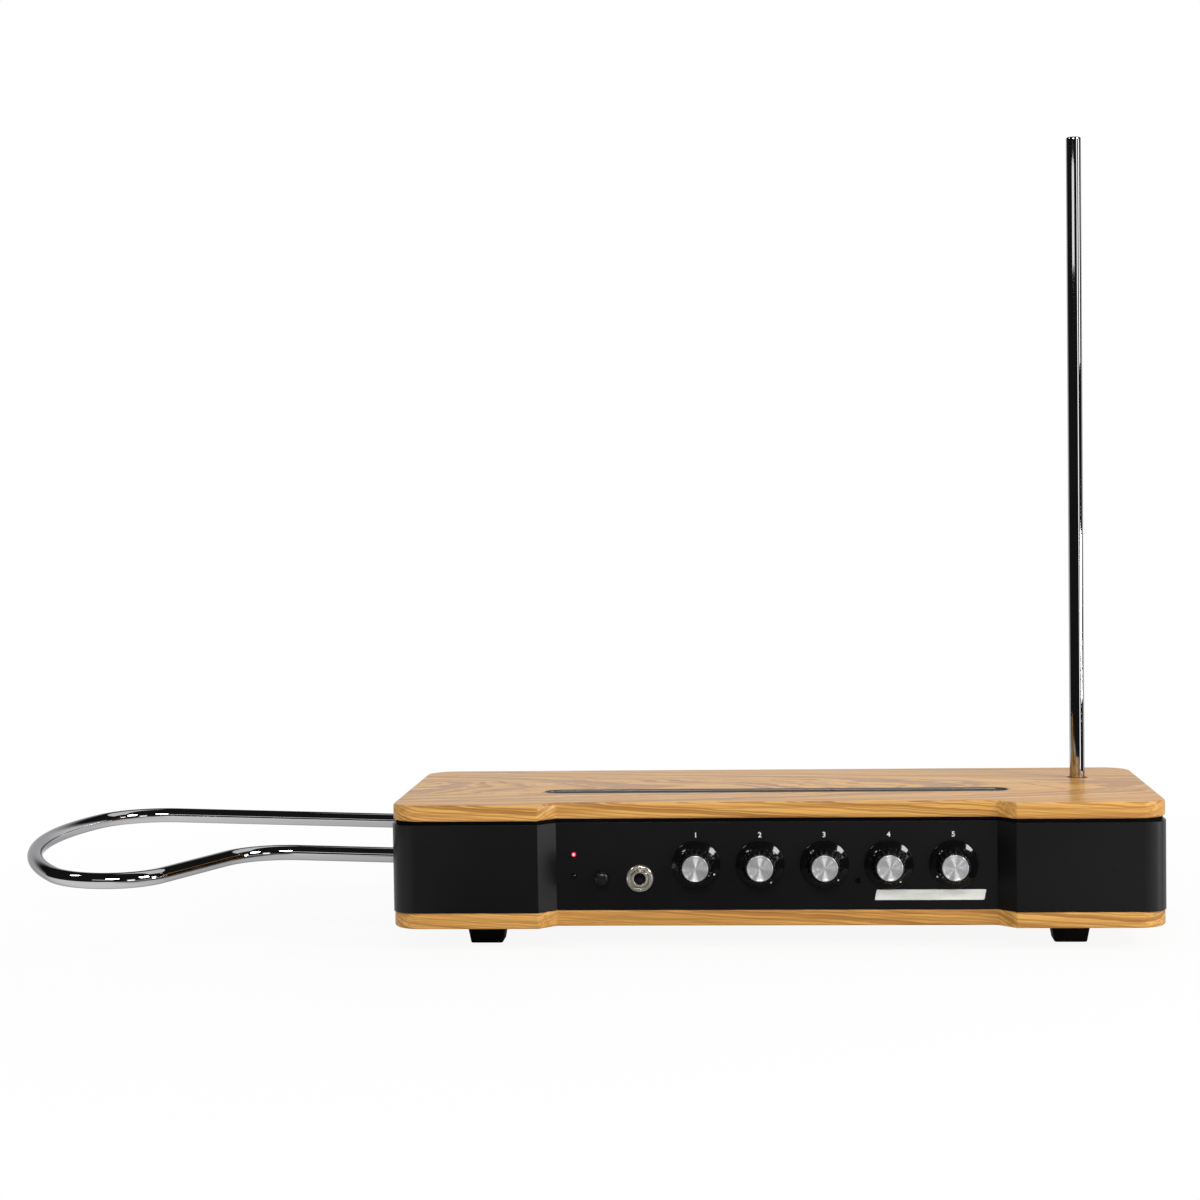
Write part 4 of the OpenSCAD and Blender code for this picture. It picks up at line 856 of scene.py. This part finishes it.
screws_below("foot_screw_heads", [(sx * FOOT_X, sy * FOOT_Y, FOOT_SCREW_Z) for sx, sy in CORNERS],
             (*BIG_HEAD, 14.0), "foot_screws")
screws_below("stand_screw_heads", [(STAND_SCREW_R * math.cos(rad(a)), STAND_SCREW_R * math.sin(rad(a)), STAND_SCREW_Z)
                                   for a in (45, 135, 225, 315)], (*SMALL_HEAD, 9.0), "stand_screws")
screws_below("case_bolt_heads", [(sx * POST_X, sy * POST_Y, BOLT_SEAT_Z) for sx, sy in CORNERS],
             (*BIG_HEAD, 69.0), "case_bolts")
back_screws = [moved(cap_screw(*SMALL_HEAD, 7.5),
                     to_back(sx * BACK_SCREW_X, BACK_SCREW_Z + sz * BACK_SCREW_OFF, BACK_Y)) for sx, sz in CORNERS]
front_screw = moved(cap_screw(1.725, 0.8, 0.75, 1.05, 5.5), to_front(*SMALL_SCREW))
build("panel_screw_heads", join(*back_screws, front_screw), DARK_SCREW, 35, "case", "black_screw", "panel_screws")


# ------------------------------------------------------------------ feet and stand socket
def foot(seg=8):
    """Tapered rubber foot hanging from z = 0, with a round well for its screw."""
    def square(w, r, z):
        h = w / 2
        return [(x, y, z) for x, y in fillet([(-h, -h), (h, -h), (h, h), (-h, h)], [r] * 4, seg)]

    rings = [square(*size) for size in (
        (24.5, 1.8, 0.0), (24.5, 1.8, -0.2), (24.2, 1.8, -1.2), (20.25, 1.8, -12.9), (20.0, 1.7, -13.5),
        (19.5, 1.5, -13.85), (18.8, 1.3, -FOOT_H), (16.5, 1.2, -FOOT_H))]
    angles = [math.atan2(y, x) for x, y, _ in rings[-1]]
    rings += [[(r * math.cos(a), r * math.sin(a), z) for a in angles] for r, z in (
        (6.2, -FOOT_H), (5.5, -13.9), (5.1, -13.4), (5.0, -12.8), (5.0, FOOT_SCREW_Z))]
    return loft(rings)


feet = join(*[moved(foot(), Matrix.Translation((sx * FOOT_X, sy * FOOT_Y, 0))) for sx, sy in CORNERS])
build("rubber_feet", feet, RUBBER, 35, "case", "foot_rubber", "feet")


def stand():
    """Stand socket: a flange and a short neck, with thread grooves inside."""
    prof = [(7.9, 6.0), (11.0, 6.0), (11.0, 0.0), (30.0, 0.0), (30.0, -2.2), (29.7, -2.7), (29.0, -3.0), (14.6, -3.0),
            (13.6, -3.3), (13.1, -4.0), (13.0, -5.0), (13.0, -10.3), (12.8, -10.75), (12.3, -11.0), (8.6, -11.0),
            (8.1, -10.8)]
    z = -10.4
    while z < 5.4:
        prof += [(7.55, z), (8.0, z + THREAD_PITCH / 2)]
        z += THREAD_PITCH
    prof.append((7.9, 6.0))
    return turned(prof, 72, False, False)


build("stand_flange", stand(), IRON, 28, "case", "socket_iron", "stand_socket")


# ------------------------------------------------------------------ nuts on the back
back_nuts = join(*[moved(round_nut(*nut), to_back(x, BACK_SOCKET_Z)) for x, *nut in BACK_SOCKETS])
build("back_nuts", back_nuts, NICKEL, 35, "case", "nickel", "socket_nuts")


# ------------------------------------------------------------------ floor, world and lamps
def floor():
    """Pale round table that shows as white, keeps the object's shadow and fades out before its edge."""
    g = Graph("pale_floor")
    x, y, _ = g.xyz(g.obj())
    r = g.length(x, y)
    tex = g.noise(g.obj(), 3.0, 2.0, 0.5)
    g.set(Base_Color=g.mix(tex, (0.86, 0.86, 0.86), (0.88, 0.88, 0.88)), Roughness=0.9, Specular_IOR_Level=0.1)
    path = g.node("ShaderNodeLightPath").outputs
    share = g.math("MULTIPLY", path["Is Camera Ray"], g.span(r, FLOOR_NEAR, FLOOR_FADE, 0.92, 1.0))
    white = g.blend(share, g.bsdf.outputs[0], g.shine("ShaderNodeEmission", 1.0))
    # for shiny things the floor shows painted shade: a dark patch in front of the object, lighter to the right, and a
    # painted shadow that darkens it near the object
    side = g.math("ABSOLUTE", x)
    near = g.math("MULTIPLY", g.span(side, 0.22, 0.25, 1.0, 0.0), g.span(y, 0.02, -0.06, smooth=True))
    far = g.math("MULTIPLY", g.span(side, 0.24, 0.34, 1.0, 0.0, smooth=True), g.span(y, -0.18, -0.26))
    painted_front_shade_mask = g.math("MAXIMUM", near, far)
    # painted shadow: shiny things see the floor darker near the object
    painted_shadow_near_object = g.span(r, 0.15, 0.45, 0.5, 1.0)
    dark = g.math("MULTIPLY", g.span(r, 0.10, 0.30, 0.3, 1.0), g.span(x, -0.22, 0.24, 0.10, 0.46))
    seen = g.math("ADD", g.math("MULTIPLY", painted_front_shade_mask, dark), g.math("MULTIPLY", g.math("SUBTRACT", 1.0, painted_front_shade_mask), painted_shadow_near_object))
    shiny = g.math("MAXIMUM", path["Is Glossy Ray"], path["Is Transmission Ray"])
    white = g.blend(shiny, white, g.shine("ShaderNodeEmission", seen))
    clear = g.node("ShaderNodeBsdfTransparent").outputs[0]
    faded = g.blend(g.span(r, FLOOR_FADE, FLOOR_END - 0.02, smooth=True), white, clear)
    out = next(n for n in g.nt.nodes if n.type == "OUTPUT_MATERIAL")
    g.put(out.inputs["Surface"], faded)
    rim = circle_ring(FLOOR_END / MM, -FOOT_H, 64)
    o = make("floor", rim, [tuple(range(len(rim)))], g.mat)


floor()


def studio_world():
    world = bpy.data.worlds.new("studio")
    bpy.context.scene.world = world
    world.use_nodes = True
    world.node_tree.nodes.clear()
    g = Nodes(world.node_tree)
    path = g.node("ShaderNodeLightPath").outputs
    way = g.node("ShaderNodeTexCoord").outputs["Generated"]
    # what shiny things see: a white sweep behind and beside, and an unlit room in front and overhead,
    # with one low upright white screen on the right
    sweep = g.span(g.dot(way, (0.06, 0.75, -0.66)), 0.26, 0.50, 0.012, 1.0, smooth=True)
    screen = g.span(g.math("ABSOLUTE", g.dot(way, (0.707, 0.707, 0.0))), 0.13, 0.08, 0.0, 2.0, smooth=True)
    x, _, z = g.xyz(way)
    lit = g.math("MULTIPLY", g.math("MULTIPLY", screen, g.span(z, 0.28, 0.14)), g.math("GREATER_THAN", x, 0.2))
    white = g.shine("ShaderNodeBackground", 1.0)
    room = g.shine("ShaderNodeBackground", g.math("MAXIMUM", sweep, lit))
    light = g.shine("ShaderNodeBackground", 0.42)
    shiny = g.math("MAXIMUM", path["Is Glossy Ray"], path["Is Transmission Ray"])
    seen = g.blend(path["Is Camera Ray"], g.blend(shiny, light, room), white)
    g.node("ShaderNodeOutputWorld", {"Surface": seen})


studio_world()


def lamp(name, place, aim, size, watts, sheen_only=False):
    """Rectangular lamp, in metres and watts. One that is sheen_only shows in shiny things alone."""
    data = bpy.data.lights.new(name, "AREA")
    data.shape = "RECTANGLE"
    data.size, data.size_y = size
    data.energy = watts
    o = bpy.data.objects.new(name, data)
    bpy.context.scene.collection.objects.link(o)
    o.location = place
    o.rotation_euler = (Vector(aim) - Vector(place)).to_track_quat("-Z", "Y").to_euler()
    o.visible_camera = False
    o.visible_diffuse = not sheen_only


lamp("softbox_top", (0.35, 0.75, 1.55), (0.0, 0.0, 0.05), (1.8, 0.8), 4.0)
lamp("softbox_right", (1.45, -0.75, 1.10), (0.0, -0.05, 0.05), (0.58, 0.58), 18.5)
lamp("reflector_right", (1.85, -0.34, 0.09), (0.0, -0.05, 0.05), (0.24, 0.22), 5.5, sheen_only=True)
lamp("reflector_high", (1.86, -0.29, 0.57), (0.2, 0.04, 0.42), (0.36, 0.30), 1.0, sheen_only=True)
lamp("strip_left", (-1.15, -0.30, 1.15), (0.0, -0.08, 0.05), (0.14, 0.30), 2.0)
lamp("softbox_front", (0.0, -1.50, 0.98), (0.0, 0.0, 0.05), (0.60, 0.25), 8.0)
lamp("softbox_high", (-0.35, -1.78, 0.64), (0.2, 0.04, 0.42), (1.1, 0.15), 0.7, sheen_only=True)

scene = bpy.context.scene
scene.view_settings.view_transform = "Standard"

bpy.context.view_layer.update()
